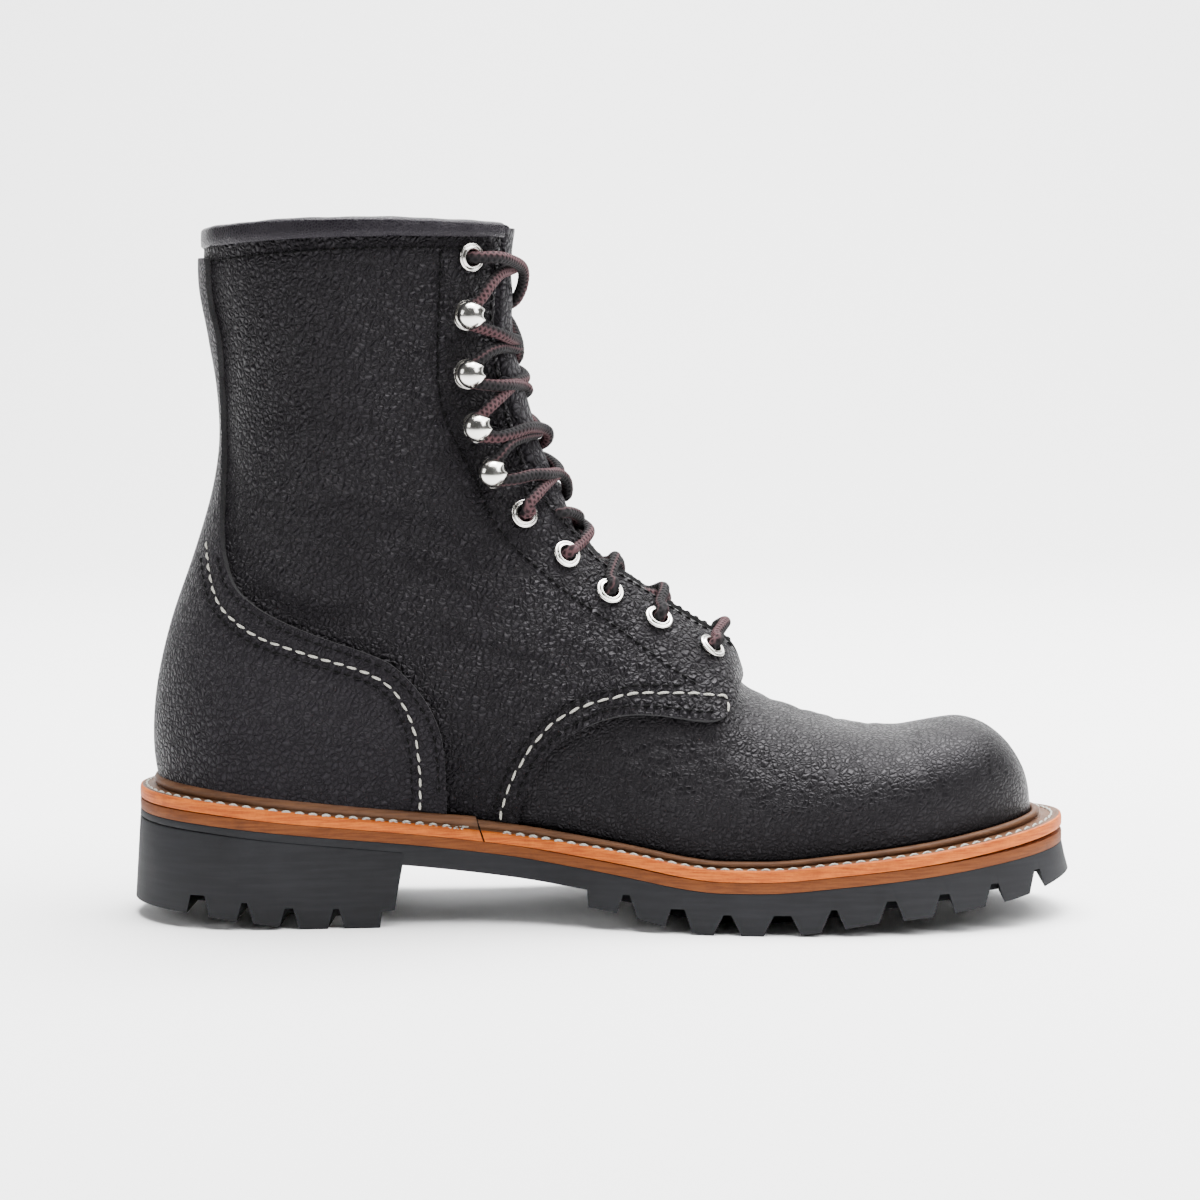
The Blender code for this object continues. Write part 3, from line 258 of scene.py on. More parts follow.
ridge = ridgeLine()
back = rounded([(place(s), height * last["collarHeight"]) for height, s in backPoints]
               + [(last["heelX"], float(featherLevel(last["heelX"])))])
ridgeByX = ridge[np.argsort(ridge[:, 0])]
frontByZ = ridge[ridge[:, 0] < place(0.81)]
frontByZ = frontByZ[np.argsort(frontByZ[:, 1])]
backByZ = back[np.argsort(back[:, 1])]
frontLine = ridge[::-1]
soleRun = np.linspace(last["heelX"], place(0.895), 200)[1:]
lowerLine = np.vstack([back, np.stack([soleRun, featherLevel(soleRun)], axis=-1)])
backShare = lengths(back)[-1] / lengths(lowerLine)[-1]


def halfSquared(x, z, side):
    # square of the form's half width at a place of the side view
    low = featherLevel(x)
    top = np.interp(x, ridgeByX[:, 0], ridgeByX[:, 1])
    roundUp = np.clip(np.minimum(ends["belly"], ends["bellyShare"] * (top - low)), 0.01, None)
    bulge = foot("bulge", x) * np.clip(2 * endShare(x), 0, 1)
    wide = halfFeather(x, side) + bulge
    crown = foot("crown", x)
    if side > 0:
        crown = crown * ((halfFeather(x, -1) + bulge) / np.maximum(wide, 0.01)) ** 2
    up = np.clip((z - low - roundUp) / np.maximum(top - low - roundUp, 0.01), 0, 1)
    under = np.clip((low + roundUp - z) / roundUp, 0, 1)
    ofFoot = (wide - bulge * under ** 2) ** 2 * (1 - up ** crown)
    middle = place(shaft("middle", z))
    rear = np.clip((middle - x) / np.maximum(middle - np.interp(z, backByZ[:, 1], backByZ[:, 0]), 1), 0, 1)
    front = np.clip((x - middle) / np.maximum(np.interp(z, frontByZ[:, 1], frontByZ[:, 0]) - middle, 1), 0, 1)
    fall = rear ** shaft("rear", z) + front ** shaft("front", z)
    ofShaft = (shaft("half", z) * last["ballWidth"]) ** 2 * np.clip(1 - fall, 0, None)
    waist = ease((x - place(blend["waist"])) / blend["waistOver"])
    aboveFoot = ease((blend["slope"] * (z - layers["heelLevel"]) - x - blend["back"]) / blend["over"])
    mix = aboveFoot * (1 - waist * (1 - ease((z - low) / blend["lowOver"])))
    return (1 - mix) * ofFoot + mix * ofShaft


def centreAt(x, z):
    return foot("centre", x) * ease((blend["centreTop"] - z) / blend["centreOver"])


def outer(x, z, side):
    return centreAt(x, z) + side * np.sqrt(np.clip(halfSquared(x, z, side), 0, None))


def normalAt(x, y, z, side):
    # outward normal of the form, for arrays of places
    step = 0.5
    alongX = halfSquared(x + step, z, side) - halfSquared(x - step, z, side)
    alongZ = halfSquared(x, z + step, side) - halfSquared(x, z - step, side)
    way = np.stack([-alongX, 4 * step * (y - centreAt(x, z)), -alongZ], axis=-1)
    return way / np.maximum(np.linalg.norm(way, axis=-1, keepdims=True), 1e-9)


def frontFrame(share):
    # a place of the front line in the side view, and the way out of the form there
    spot = byShare(frontLine, np.array([share - 0.004, share, share + 0.004]))
    way = (spot[2] - spot[0]) / np.linalg.norm(spot[2] - spot[0])
    return spot[1], np.array([-way[1], way[0]])


def widths(spot, out, side, deep):
    # half widths of the form at depths under a place of the front line
    x, z = spot[0] - out[0] * deep, spot[1] - out[1] * deep
    wide = np.sqrt(np.clip(halfSquared(x, z, side), 0, None))
    wide[0] = 0
    return np.maximum.accumulate(wide), deep


def overFront(share, across, lift=0.0):
    # place over the front: share of the front line, distance from the middle, height over the form
    spot, out = frontFrame(share)
    side = -1 if across < 0 else 1
    base = spot - out * float(np.interp(abs(across), *widths(spot, out, side, np.linspace(0, 50, 260))))
    y = float(centreAt(*base)) + across
    normal = normalAt(base[0], y, base[1], side)
    rise = lift(*base) if callable(lift) else lift
    return np.array([base[0], y, base[1]]) + normal * rise, normal


def quarterLift(x, z):
    # rise of the quarter over the vamp, and of its tabs at the foot of the throat
    lean = x - lap["lean"] * (z - lap["z"])
    swelling = tab["height"] * np.exp(-((x - tab["x"]) / tab["spread"]) ** 2)
    onTab = swelling * ease((z - tab["z"]) / tab["over"])
    return leather["quarterStep"] * ease((lean - lap["x"]) / lap["over"]) + onTab


# Grids over the form

sheet = {"fine": 300, "across": 161, "frontWeight": 0.4, "archRows": 4}


def sectionRows(first, final, count):
    # section numbers from one to another, spread evenly over the leather
    number = np.arange(len(sections["front"]), dtype=float)
    fine = np.linspace(first, final, sheet["fine"])
    top = byShare(frontLine, along(number, sections["front"], fine))
    low = byShare(lowerLine, along(number, sections["back"], fine))
    run = lengths((top + low) / 2) + sheet["frontWeight"] * lengths(top)
    index = np.interp(np.linspace(0, run[-1], count), run, fine)
    return along(number, sections["front"], index), along(number, sections["back"], index), index


def sideSheet(piece, side, gap=True):
    # grid of one side: from the back or sole line up to the facing, or to the ridge
    first, final, rows, columns = (piece[name] for name in ("first", "final", "rows", "columns"))
    frontShare, lowShare, index = sectionRows(first, final, rows)
    top, low = byShare(frontLine, frontShare), byShare(lowerLine, lowShare)
    onBack = lowShare < backShare
    low[:, 1] = np.where(onBack, low[:, 1], featherLevel(low[:, 0]))
    share = (1 - np.cos(np.linspace(0, pi, sheet["across"]))) / 2
    flat = low[:, None] + (top - low)[:, None] * share[None, :, None]
    x, z = flat[..., 0], flat[..., 1]
    y = outer(x, z, side)
    y[:, -1] = centreAt(x[:, -1], z[:, -1])
    y[onBack, 0] = centreAt(x[onBack, 0], z[onBack, 0])
    arch = last["collarArch"] * 4 * share * (1 - share) * ease(1 - index[:, None] / sheet["archRows"])
    grid = np.empty((rows, columns, 3))
    for i in range(rows):
        line = np.stack([x[i], y[i], z[i], z[i] + arch[i]], axis=-1)
        off = np.abs(y[i] - centreAt(x[i], z[i]))
        stop = len(share) - 1.0
        if gap:
            half = float(along(throat["front"], throat["half"], frontShare[i]))
            widest = int(np.argmax(off))
            stop = float(np.interp(-half, -off[widest:], np.arange(widest, len(off))))
        keep = int(stop)
        end = line[keep] + (line[min(keep + 1, len(line) - 1)] - line[keep]) * (stop - keep)
        line = np.vstack([line[:keep + 1], end]) if stop > keep + 1e-6 else line[:keep + 1]
        grid[i] = evenly(line, columns)[:, (0, 1, 3)]
    return grid


def formNormals(points):
    near = normalAt(points[..., 0], points[..., 1], points[..., 2], -1)
    far = normalAt(points[..., 0], points[..., 1], points[..., 2], 1)
    onNear = points[..., 1] < centreAt(points[..., 0], points[..., 2])
    return np.where(onNear[..., None], near, far)


def nearestOn(points, line, closed=True):
    # nearest place of a line for each point, its distance, and whether the point lies inside
    a = line if closed else line[:-1]
    b = np.roll(line, -1, axis=0) if closed else line[1:]
    flat = points.reshape(-1, 2)
    best = np.full(len(flat), 1e9)
    spot = np.zeros_like(flat)
    inside = np.zeros(len(flat), bool)
    for (ax, ay), (bx, by) in zip(a, b):
        dx, dy = bx - ax, by - ay
        size = max(dx * dx + dy * dy, 1e-12)
        t = np.clip(((flat[:, 0] - ax) * dx + (flat[:, 1] - ay) * dy) / size, 0, 1)
        px, py = ax + t * dx, ay + t * dy
        gap = np.hypot(flat[:, 0] - px, flat[:, 1] - py)
        closer = gap < best
        best[closer] = gap[closer]
        spot[closer] = np.stack([px, py], axis=-1)[closer]
        if dy:
            crosses = (ay > flat[:, 1]) != (by > flat[:, 1])
            inside ^= crosses & (flat[:, 0] < (flat[:, 1] - ay) * dx / dy + ax)
    shape = points.shape[:-1]
    return spot.reshape(points.shape), best.reshape(shape), inside.reshape(shape)


def cutLoop(corners, field, points, crossing):
    # the kept part of one cell, with new points where the outline crosses its sides
    loop = []
    for a, b in zip(corners, corners[1:] + corners[:1]):
        if field[a] >= 0:
            loop.append(a)
        if (field[a] >= 0) != (field[b] >= 0) and max(field[a], field[b]) > 0:
            key = (min(a, b), max(a, b))
            if key not in crossing:
                crossing[key] = len(points)
                points.append(points[a] + (points[b] - points[a]) * (field[a] / (field[a] - field[b])))
            loop.append(crossing[key])
    return loop


def clipped(grid, outline, side, holes=()):
    # the part of a side sheet inside an outline of the side view and outside round holes
    rows, columns = grid.shape[:2]
    spot, gap, inside = nearestOn(grid[..., (0, 2)], outline)
    cell = np.minimum(np.linalg.norm(np.gradient(grid, axis=0), axis=-1),
                      np.linalg.norm(np.gradient(grid, axis=1), axis=-1))
    near = gap < 0.3 * cell
    near[:, 0] = near[:, -1] = False
    onEdge = np.stack([spot[..., 0], outer(spot[..., 0], spot[..., 1], side), spot[..., 1]], axis=-1)
    points = np.where(near[..., None], onEdge, grid)
    field = np.where(near, 0.0, np.where(inside, gap, -gap))
    for centre, radius in holes:
        field = np.minimum(field, np.linalg.norm(points - centre, axis=-1) - radius)
    points, field = list(points.reshape(-1, 3)), list(field.ravel())
    crossing, faces = {}, []
    for i in range(rows - 1):
        for j in range(columns - 1):
            k = i * columns + j
            corners = [k, k + columns, k + columns + 1, k + 1]
            loop = cutLoop(corners, field, points, crossing)
            if len(loop) > 2:
                faces.append(loop)
    if side > 0:
        faces = [face[::-1] for face in faces]
    return np.array(points), faces


swells = {"long": 0.28, "middle": 0.22, "short": 0.14, "besideCrease": 0.45}


def swell(points):
    # long soft waves that take the stiffness out of a form, in millimetres
    x, y, z = np.moveaxis(points, -1, 0)
    return (swells["long"] * np.sin(x / 17 + z / 23 + y / 31)
            + swells["middle"] * np.sin(z / 13 - y / 19 + 1.3)
            + swells["short"] * np.sin(x / 7.3 - z / 9.1 + y / 11))


def strokes(points, lines):
    # creases: each a line of the side view, with a width and a depth, and a soft rise beside it
    total = np.zeros(points.shape[:-1])
    flat = points[..., (0, 2)]
    for wide, deep, *line in lines:
        line = rounded(line, 6)
        _, gap, _ = nearestOn(flat, line, closed=False)
        first, final = (np.linalg.norm(flat - tip, axis=-1) for tip in (line[0], line[-1]))
        fade = ease((np.minimum(first, final) + 2) / 8)
        beside = np.exp(-((gap - 2.2 * wide) / (1.1 * wide)) ** 2)
        shape = -np.exp(-(gap / wide) ** 2) + swells["besideCrease"] * beside
        total += deep * fade * shape
    return total


seamDip = {"wide": 1.2, "deep": 0.28}


def pressed(points, lines):
    # the dip that a row of stitches pulls into the leather
    total = np.zeros(points.shape[:-1])
    for line in lines:
        _, gap, _ = nearestOn(points[..., (0, 2)], line, closed=False)
        total = np.minimum(total, -seamDip["deep"] * np.exp(-(gap / seamDip["wide"]) ** 2))
    return total


def shifted(line, distance):
    # a line of the side view moved sideways, to its left
    way = np.gradient(line, axis=0)
    way /= np.linalg.norm(way, axis=1, keepdims=True)
    return line + distance * np.stack([-way[:, 1], way[:, 0]], axis=-1)


# Meshes

def meshData(name, points, faces):
    mesh = bpy.data.meshes.new(name)
    mesh.from_pydata((np.asarray(points) * mm).tolist(), [], faces)
    return mesh


def placed(name, data):
    made = bpy.data.objects.new(name, data)
    bpy.context.collection.objects.link(made)
    return made


def meshOf(name, points, faces, finishes, slots=None, sharp=None):
    mesh = meshData(name, points, faces)
    for finish in finishes if isinstance(finishes, (list, tuple)) else [finishes]:
        mesh.materials.append(finish)
    if slots is not None:
        mesh.polygons.foreach_set("material_index", np.asarray(slots, np.int32))
    mesh.validate()
    mesh.update()
    made = placed(name, mesh)
    mesh.shade_smooth()
    if sharp:
        mesh.set_sharp_from_angle(angle=radians(sharp))
    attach(made, "root")
    return made


def sheetFaces(rows, columns, closed=False):
    faces = []
    for i in range(rows - 1):
        for j in range(columns if closed else columns - 1):
            k = (j + 1) % columns
            faces.append([i * columns + j, (i + 1) * columns + j, (i + 1) * columns + k, i * columns + k])
    return faces


def merged(points, faces, digits):
    # first point of each place, and the faces between them that keep an area
    places = np.round(points, digits)
    _, first, same = np.unique(places, axis=0, return_index=True, return_inverse=True)
    same = same.reshape(-1)
    faces = [list(dict.fromkeys(int(same[k]) for k in face)) for face in faces]
    return first, [face for face in faces if len(face) > 2]


cutRoll = 0.3


def skin(name, base, top, under, faces, finishes):
    # two-sided leather: top, under and a cut edge; points with the same base are one
    first, faces = merged(base, faces, 3)
    used = sorted({k for face in faces for k in face})
    number = {k: i for i, k in enumerate(used)}
    faces = [[number[k] for k in face] for face in faces]
    top, under = top[first][used], under[first][used]
    count = len(used)
    edges = set()
    for face in faces:
        edges.update(zip(face, face[1:] + face[:1]))
    border = [(a, b) for a, b in edges if (b, a) not in edges]
    rim = sorted({k for pair in border for k in pair})
    extra = {k: 2 * count + i for i, k in enumerate(rim)}
    down = under[rim] - top[rim]
    size = np.maximum(np.linalg.norm(down, axis=1, keepdims=True), 1e-6)
    lower = top[rim] + down / size * np.minimum(cutRoll, 0.4 * size)
    top[rim] = top[rim] + down / size * np.minimum(0.4 * cutRoll, 0.1 * size)
    out = [list(face) for face in faces] + [[k + count for k in face[::-1]] for face in faces]
    slots = [0] * len(faces) + [2] * len(faces)
    for a, b in border:
        out += [[b, a, extra[a], extra[b]], [extra[b], extra[a], a + count, b + count]]
        slots += [1, 1]
    return meshOf(name, np.vstack([top, under, lower]), out, finishes, slots, sharp=50)


def turnedParts(profile, spot, axis, forward, count, flare=None, closed=True):
    # points and faces of a turned piece; a flare changes the radius by angle and profile point
    side = forward - axis * np.dot(forward, axis)
    side /= np.linalg.norm(side)
    other = np.cross(axis, side)
    turn = 2 * pi * np.arange(count) / count
    ringWay = np.cos(turn)[:, None] * side + np.sin(turn)[:, None] * other
    points = []
    for n, (r, h) in enumerate(profile):
        scale = 1 if flare is None else flare(turn, n)[:, None]
        points.append(spot + axis * h + max(r, 1e-3) * scale * ringWay)
    faces = sheetFaces(len(profile), count, closed=True)
    if closed:
        n = (len(profile) - 1) * count
        faces += [[n + k, k, (k + 1) % count, n + (k + 1) % count] for k in range(count)]
    return np.vstack(points), faces


def gather(parts):
    points, faces, start = [], [], 0
    for some, loops in parts:
        points.append(np.asarray(some))
        faces += [[k + start for k in loop] for loop in loops]
        start += len(some)
    return np.vstack(points), faces


def frames(path, first=(0.3, 0.2, 0.93)):
    # a pair of cross directions carried along a path without twist
    ahead = np.gradient(path, axis=0)
    ahead /= np.maximum(np.linalg.norm(ahead, axis=1, keepdims=True), 1e-9)
    side, sides = np.array(first, float), []
    for way in ahead:
        side = side - way * np.dot(side, way)
        side /= np.linalg.norm(side)
        sides.append(side)
    sides = np.array(sides)
    return sides, np.cross(ahead, sides)


def tubeParts(path, across, other, angle, radius):
    # points and faces of a closed tube, for rows of angles and radii along a path
    sides = angle.shape[-1]
    way = np.cos(angle)[..., None] * across[:, None] + np.sin(angle)[..., None] * other[:, None]
    points = (path[:, None] + radius[..., None] * way).reshape(-1, 3)
    faces = [face[::-1] for face in sheetFaces(len(path), sides, closed=True)]
    faces += [list(range(sides)), list(range(len(points) - sides, len(points)))[::-1]]
    return points, faces


threadSides = 6


def threadParts(path, radius):
    angle = 2 * pi * np.arange(threadSides)[None] / threadSides
    fat = np.broadcast_to(radius, (len(path),))[:, None]
    return tubeParts(path, *frames(path, (0.31, 0.52, 0.79)), angle, fat)


stitchRise = np.array([-0.8, 0.1, 1.0, 1.0, 0.1, -0.8])
stitchFat = np.array([0.55, 0.9, 1.0, 1.0, 0.9, 0.55])


def stitchParts(path, normals, pitch, share, radius, rise=0.28):
    # a row of stitches along a path: each dips into the leather at both ends
    run = lengths(path)
    parts = []
    for k in range(int(run[-1] / pitch)):
        at = (k + 0.5) * pitch + np.linspace(-0.5, 0.5, 6) * pitch * share
        spots, out = atRun(path, run, at), atRun(normals, run, at)
        tilt = np.cross(out[3], spots[-1] - spots[0])
        tilt /= max(np.linalg.norm(tilt), 1e-9)
        lean = (0.06 + 0.05 * random.uniform(-1, 1)) * pitch * 0.5
        fat = radius * stitchFat * random.uniform(0.92, 1.08)
        sway = np.linspace(-1, 1, 6)[:, None] * tilt * lean
        parts.append(threadParts(spots + out * (rise * stitchRise)[:, None] + sway, fat))
    return parts


# Shader nodes

class Link:
    # a node's output, so that an expression on values adds its Math nodes
    def __init__(self, shade, socket):
        self.shade, self.socket = shade, socket

    def maths(self, kind, *values):
        return self.shade.add("Math", {"operation": kind}, *values)

    def __add__(self, other):
        return self.maths("ADD", self, other)

    def __sub__(self, other):
        return self.maths("SUBTRACT", self, other)

    def __rsub__(self, other):
        return self.maths("SUBTRACT", other, self)

    def __mul__(self, other):
        return self.maths("MULTIPLY", self, other)

    __radd__ = __add__
    __rmul__ = __mul__


class Finish:
    # a material under construction
    def __init__(self, name, **constants):
        self.material = bpy.data.materials.new(name)
        self.material.use_nodes = True
        self.tree = self.material.node_tree
        self.shader = self.tree.nodes["Principled BSDF"]
        for key, value in constants.items():
            self.shader.inputs[key.replace("_", " ")].default_value = value
        self.place = self.add("TexCoord", {}, output="Object")

    def connect(self, value, socket):
        if isinstance(value, Link):
            self.tree.links.new(value.socket, socket)
        else:
            socket.default_value = value

    def add(self, kind, settings, *values, output=0, **named):
        node = self.tree.nodes.new("ShaderNode" + kind)
        for key, value in settings.items():
            setattr(node, key, value)
        ready = [s for s in node.inputs if s.enabled]
        for value, socket in zip(values, ready):
            if value is not None:
                self.connect(value, socket)
        for key, value in named.items():
            self.connect(value, next(s for s in ready if s.name == key.replace("_", " ")))
        outs = [s for s in node.outputs if s.enabled]
        if isinstance(output, int):
            return Link(self, outs[output])
        return Link(self, next(s for s in outs if s.name == output))

    def noise(self, size, detail, rough=0.5, at=None):
        # size is the width of a patch in millimetres
        return self.add("TexNoise", {}, Vector=at or self.place, Scale=1000.0 / size, Detail=detail,
                        Roughness=rough)

    def cells(self, size, at):
        # distance to the edges of cells of a width in millimetres
        settings = {"feature": "DISTANCE_TO_EDGE"}
        return self.add("TexVoronoi", settings, Vector=at, Scale=1000.0 / size, output="Distance")

    def ramp(self, value, low, high, toLow=0.0, toHigh=1.0, kind="LINEAR"):
        return self.add("MapRange", {"interpolation_type": kind}, value, low, high, toLow, toHigh)

    def mix(self, share, *pair):
        a, b = (one if isinstance(one, Link) else (*one, 1) for one in pair)
        return self.add("Mix", {"data_type": "RGBA"}, share, a, b)

    def stretched(self, x, y, z):
        return self.add("Mapping", {}, self.place, Scale=(x, y, z))

    def value(self, name):
        return self.add("Attribute", {"attribute_name": name}, output="Fac")

    def bump(self, height, strength, depth):
        # depth is in millimetres
        return self.add("Bump", {}, Strength=strength, Distance=depth * mm, Height=height)

    def done(self, **sockets):
        for key, value in sockets.items():
            self.connect(value, self.shader.inputs[key.replace("_", " ")])
        return self.material


def grainedLeather(name, tone, grain, depth, gloss, contrast=1.0, crackle=0.0, smoothToe=1.0):
    # pebbles parted by creases painted darker as shade, smaller ones among them, pores, and patches of more
    # and less sheen
    f = Finish(name, Specular_IOR_Level=0.18, Specular_Tint=(0.98, 0.93, 1.0, 1.0))
    sway = (2.6 * mm,) * 3
    drift = f.add("VectorMath", {"operation": "MULTIPLY_ADD"}, f.noise(4.0, 2.0), sway, f.place)
    pebbles = f.cells(grain, drift)
    small = f.cells(grain * 0.45, drift)
    pores = f.noise(0.4, 3.0, 0.6)
    patches = f.noise(26.0, 3.0, 0.6)
    broken = f.ramp(f.noise(3.2, 2.0), 0.38, 0.6)
    crease = f.ramp(pebbles, 0.0, 0.22, 0.0, 1.0, "SMOOTHSTEP")
    fine = f.ramp(small, 0.0, 0.16, 0.0, 1.0, "SMOOTHSTEP")
    dome = f.ramp(pebbles, 0.0, 0.5)
    height = crease * (0.5 + 0.3 * patches) + dome + fine * 0.4 * broken + pores * 0.15
    toward = f.add("SeparateXYZ", {}, f.place, output="X")
    height = height * f.ramp(toward, 70 * mm, 112 * mm, 1.0, smoothToe, "SMOOTHSTEP")
    normal = f.bump(height, 1.0, depth)
    # painted shade: the colour darkens in the creases between pebbles, and also in the darker patches of
    # tone; the pebbles' crowns take the light tone, and contrast sets how much of both shows
    shadeAndPatchDark = (tone * 0.30, tone * 0.27, tone * 0.35)
    light = (tone * 1.42, tone * 1.22, tone * 1.62)
    colour = f.mix((crease * 0.75 + patches * 0.25) * contrast + (1 - contrast) * 0.7, shadeAndPatchDark, light)
    if crackle:
        # fine pale lines where the finish has stretched
        worn = f.ramp(f.noise(14.0, 3.0, 0.6), 0.45, 0.62)
        lines = f.ramp(f.cells(2.3, drift), 0.05, 0.0) * worn * crackle
        colour = f.mix(lines, colour, (tone * 5.0, tone * 4.6, tone * 5.0))
    rough = f.ramp(patches, 0.3, 0.7, gloss - 0.05, gloss + 0.08) + (1 - crease) * 0.25
    return f.done(Base_Color=colour, Roughness=rough, Normal=normal)


def cutLeather():
    f = Finish("cut leather edge", Specular_IOR_Level=0.2)
    fuzz = f.noise(0.4, 4.0, 0.7)
    colour = f.mix(f.ramp(fuzz, 0.35, 0.7), (0.010, 0.010, 0.011), (0.042, 0.041, 0.042))
    rough = f.ramp(fuzz, 0.3, 0.7, 0.7, 0.95)
    return f.done(Base_Color=colour, Roughness=rough, Normal=f.bump(fuzz, 0.7, 0.25))


def liningLeather():
    f = Finish("lining leather", Specular_IOR_Level=0.2)
    patches = f.noise(12.0, 3.0, 0.6)
    colour = f.mix(patches, (0.010, 0.0095, 0.010), (0.019, 0.018, 0.019))
    return f.done(Base_Color=colour, Roughness=f.ramp(patches, 0.2, 0.8, 0.65, 0.8),
                  Normal=f.bump(f.noise(0.8, 3.0), 0.4, 0.1))


def threadFinish(name, tone):
    f = Finish(name, Specular_IOR_Level=0.1)
    twist = f.add("TexWave", {"bands_direction": "DIAGONAL"}, Vector=f.place, Scale=700.0, Distortion=0.5)
    # painted shade: the colour darkens in the grooves of the twist, where the bump sinks
    colour = f.mix(twist, tuple(t * 0.6 for t in tone), tone)
    rough = f.ramp(twist, 0.0, 1.0, 0.8, 0.6)
    return f.done(Base_Color=colour, Roughness=rough, Normal=f.bump(twist, 0.5, 0.08))


def edgeLeather(name, low, high, spot, rough, speck=0.3):
    # a cut and dressed edge: fine layers along it, fibres across, and darker blotches
    f = Finish(name, Specular_IOR_Level=0.2)
    beds = f.noise(1.2, 3.0, 0.6, at=f.stretched(0.14, 0.14, 1.8))
    blotch = f.noise(9.0, 4.0, 0.65)
    fibre = f.noise(0.6, 4.0, 0.75)
    base = f.mix(f.ramp(beds, 0.36, 0.62) * (1 - speck) + f.ramp(fibre, 0.35, 0.65) * speck, low, high)
    colour = f.mix(f.ramp(blotch, 0.52, 0.78) * 0.55, base, spot)
    return f.done(Base_Color=colour, Roughness=f.ramp(fibre, 0.2, 0.8, rough - 0.1, rough + 0.15),
                  Normal=f.bump(beds * 0.5 + fibre * 0.5, 0.5, 0.25))


def rubberFinish():
    f = Finish("black sole rubber", Specular_IOR_Level=0.25)
    dust = f.noise(22.0, 5.0, 0.65)
    specks = f.noise(0.7, 3.0, 0.6)
    lines = f.noise(1.4, 2.0, 0.5, at=f.stretched(0.08, 0.08, 1.0))
    colour = f.mix(f.ramp(dust, 0.35, 0.75) * 0.7 + f.ramp(lines, 0.4, 0.7) * 0.3,
                   (0.0055, 0.0057, 0.0070), (0.0145, 0.015, 0.0175))
    return f.done(Base_Color=colour, Roughness=f.ramp(dust, 0.2, 0.8, 0.6, 0.85),
                  Normal=f.bump(specks * 0.6 + lines * 0.4, 0.4, 0.15))


def nickelFinish():
    f = Finish("bright nickel", Metallic=1.0)
    haze = f.noise(3.0, 4.0, 0.6)
    colour = f.mix(haze, (0.66, 0.64, 0.60), (0.84, 0.82, 0.78))
    return f.done(Base_Color=colour, Roughness=f.ramp(haze, 0.3, 0.8, 0.12, 0.26),
                  Normal=f.bump(f.noise(0.8, 2.0), 0.06, 0.05))


def cordFinish():
    # braided cord, with a mauve-brown stripe along one side and ticks of it in the braid
    f = Finish("black braided lace", Specular_IOR_Level=0.15)
    weave, stripe = f.value("weave"), f.value("stripe")
    fibre = f.noise(0.25, 3.0, 0.7)
    # painted shade: both black and mauve darken where the weave sinks, in the hollows of the braid
    black = f.mix(f.ramp(weave, -0.2, 0.95), (0.0025, 0.0025, 0.003), (0.014, 0.0125, 0.0135))
    mauve = f.mix(f.ramp(weave, -0.2, 0.8), (0.012, 0.006, 0.007), (0.078, 0.038, 0.042))
    colour = f.mix(stripe, black, mauve)
    rough = f.ramp(fibre, 0.3, 0.7, 0.7, 0.9)
    return f.done(Base_Color=colour, Roughness=rough, Normal=f.bump(fibre + weave, 0.6, 0.2))


shaftLeather = grainedLeather("pebbled shaft leather", 0.0034, 1.9, 0.85, 0.36)
vampLeather = grainedLeather("vamp leather", 0.0012, 1.6, 0.22, 0.36, 0.6, 0.55, 0.45)
counterLeather = grainedLeather("counter leather", 0.0046, 1.9, 0.42, 0.42, 0.7)
bindingLeather = grainedLeather("rolled binding leather", 0.0080, 1.0, 0.06, 0.24, 0.4)
tongueLeather = grainedLeather("tongue leather", 0.0055, 2.6, 0.40, 0.5)
cutEdge, lining = cutLeather(), liningLeather()
paleThread = threadFinish("off-white thread", (0.46, 0.45, 0.40))
blackThread = threadFinish("black thread", (0.0012, 0.0012, 0.0013))
weltEdge = edgeLeather(
    "orange welt edge", (0.25, 0.040, 0.003), (0.52, 0.125, 0.010), (0.13, 0.022, 0.003), 0.6)
ribLeather = edgeLeather(
    "brown welt top", (0.060, 0.024, 0.010), (0.100, 0.043, 0.018), (0.032, 0.014, 0.006), 0.55, 0.15)
midsoleLeather = edgeLeather(
    "brown midsole edge", (0.085, 0.022, 0.005), (0.150, 0.044, 0.010), (0.045, 0.013, 0.004), 0.7)
insoleLeather = edgeLeather(
    "insole leather", (0.30, 0.19, 0.11), (0.42, 0.28, 0.17), (0.22, 0.14, 0.08), 0.7)
rubber, nickel, cord = rubberFinish(), nickelFinish(), cordFinish()
print("finishes made")


# Places shared by leather, metal and laces

def stayAt(k, side):
    spot, normal = overFront(stays["front"][k], side * stays["across"][k], quarterLift)
    ground, _ = overFront(stays["front"][k], side * stays["across"][k])
    return spot, normal, ground


eyeletRows = [k for k in range(len(stays["hook"])) if not stays["hook"][k]]
hookRows = [k for k in range(len(stays["hook"])) if stays["hook"][k]]
stayPlaces = {(k, side): stayAt(k, side) for k in range(len(stays["front"])) for side in (-1, 1)}


def sideLine(points, count):
    return rounded([(place(s), height * last["collarHeight"]) for s, height in points], count)


quarterLine = sideLine(quarterEdge, 14)
counterLine = sideLine(counterEdge, 14)
quarterStitch = rounded([
    (-31.0, 33.7), (-29.7, 39.2), (-28.0, 44.5), (-25.8, 49.7), (-23.5, 53.2), (-20.9, 57.7), (-17.9, 60.9),
    (-14.3, 64.8), (-10.4, 67.3), (-6.2, 69.5), (-1.7, 71.0), (3.1, 72.3), (7.9, 73.3), (13.1, 74.4),
    (22.7, 74.5), (32.3, 74.1), (36.8, 73.3), (40.6, 72.6), (41.9, 71.2), (41.8, 67.8)], 6)
counterStitch = rounded([
    (-125.5, 123.5), (-123.6, 113.9), (-119.9, 104.0), (-112.9, 97.5), (-106.5, 93.7), (-98.5, 90.8),
    (-87.8, 87.3), (-79.2, 84.8), (-71.5, 82.0), (-64.5, 77.3), (-60.8, 71.9), (-58.0, 65.5),
    (-56.5, 57.8), (-56.1, 46.6), (-56.7, 36.9)], 6)
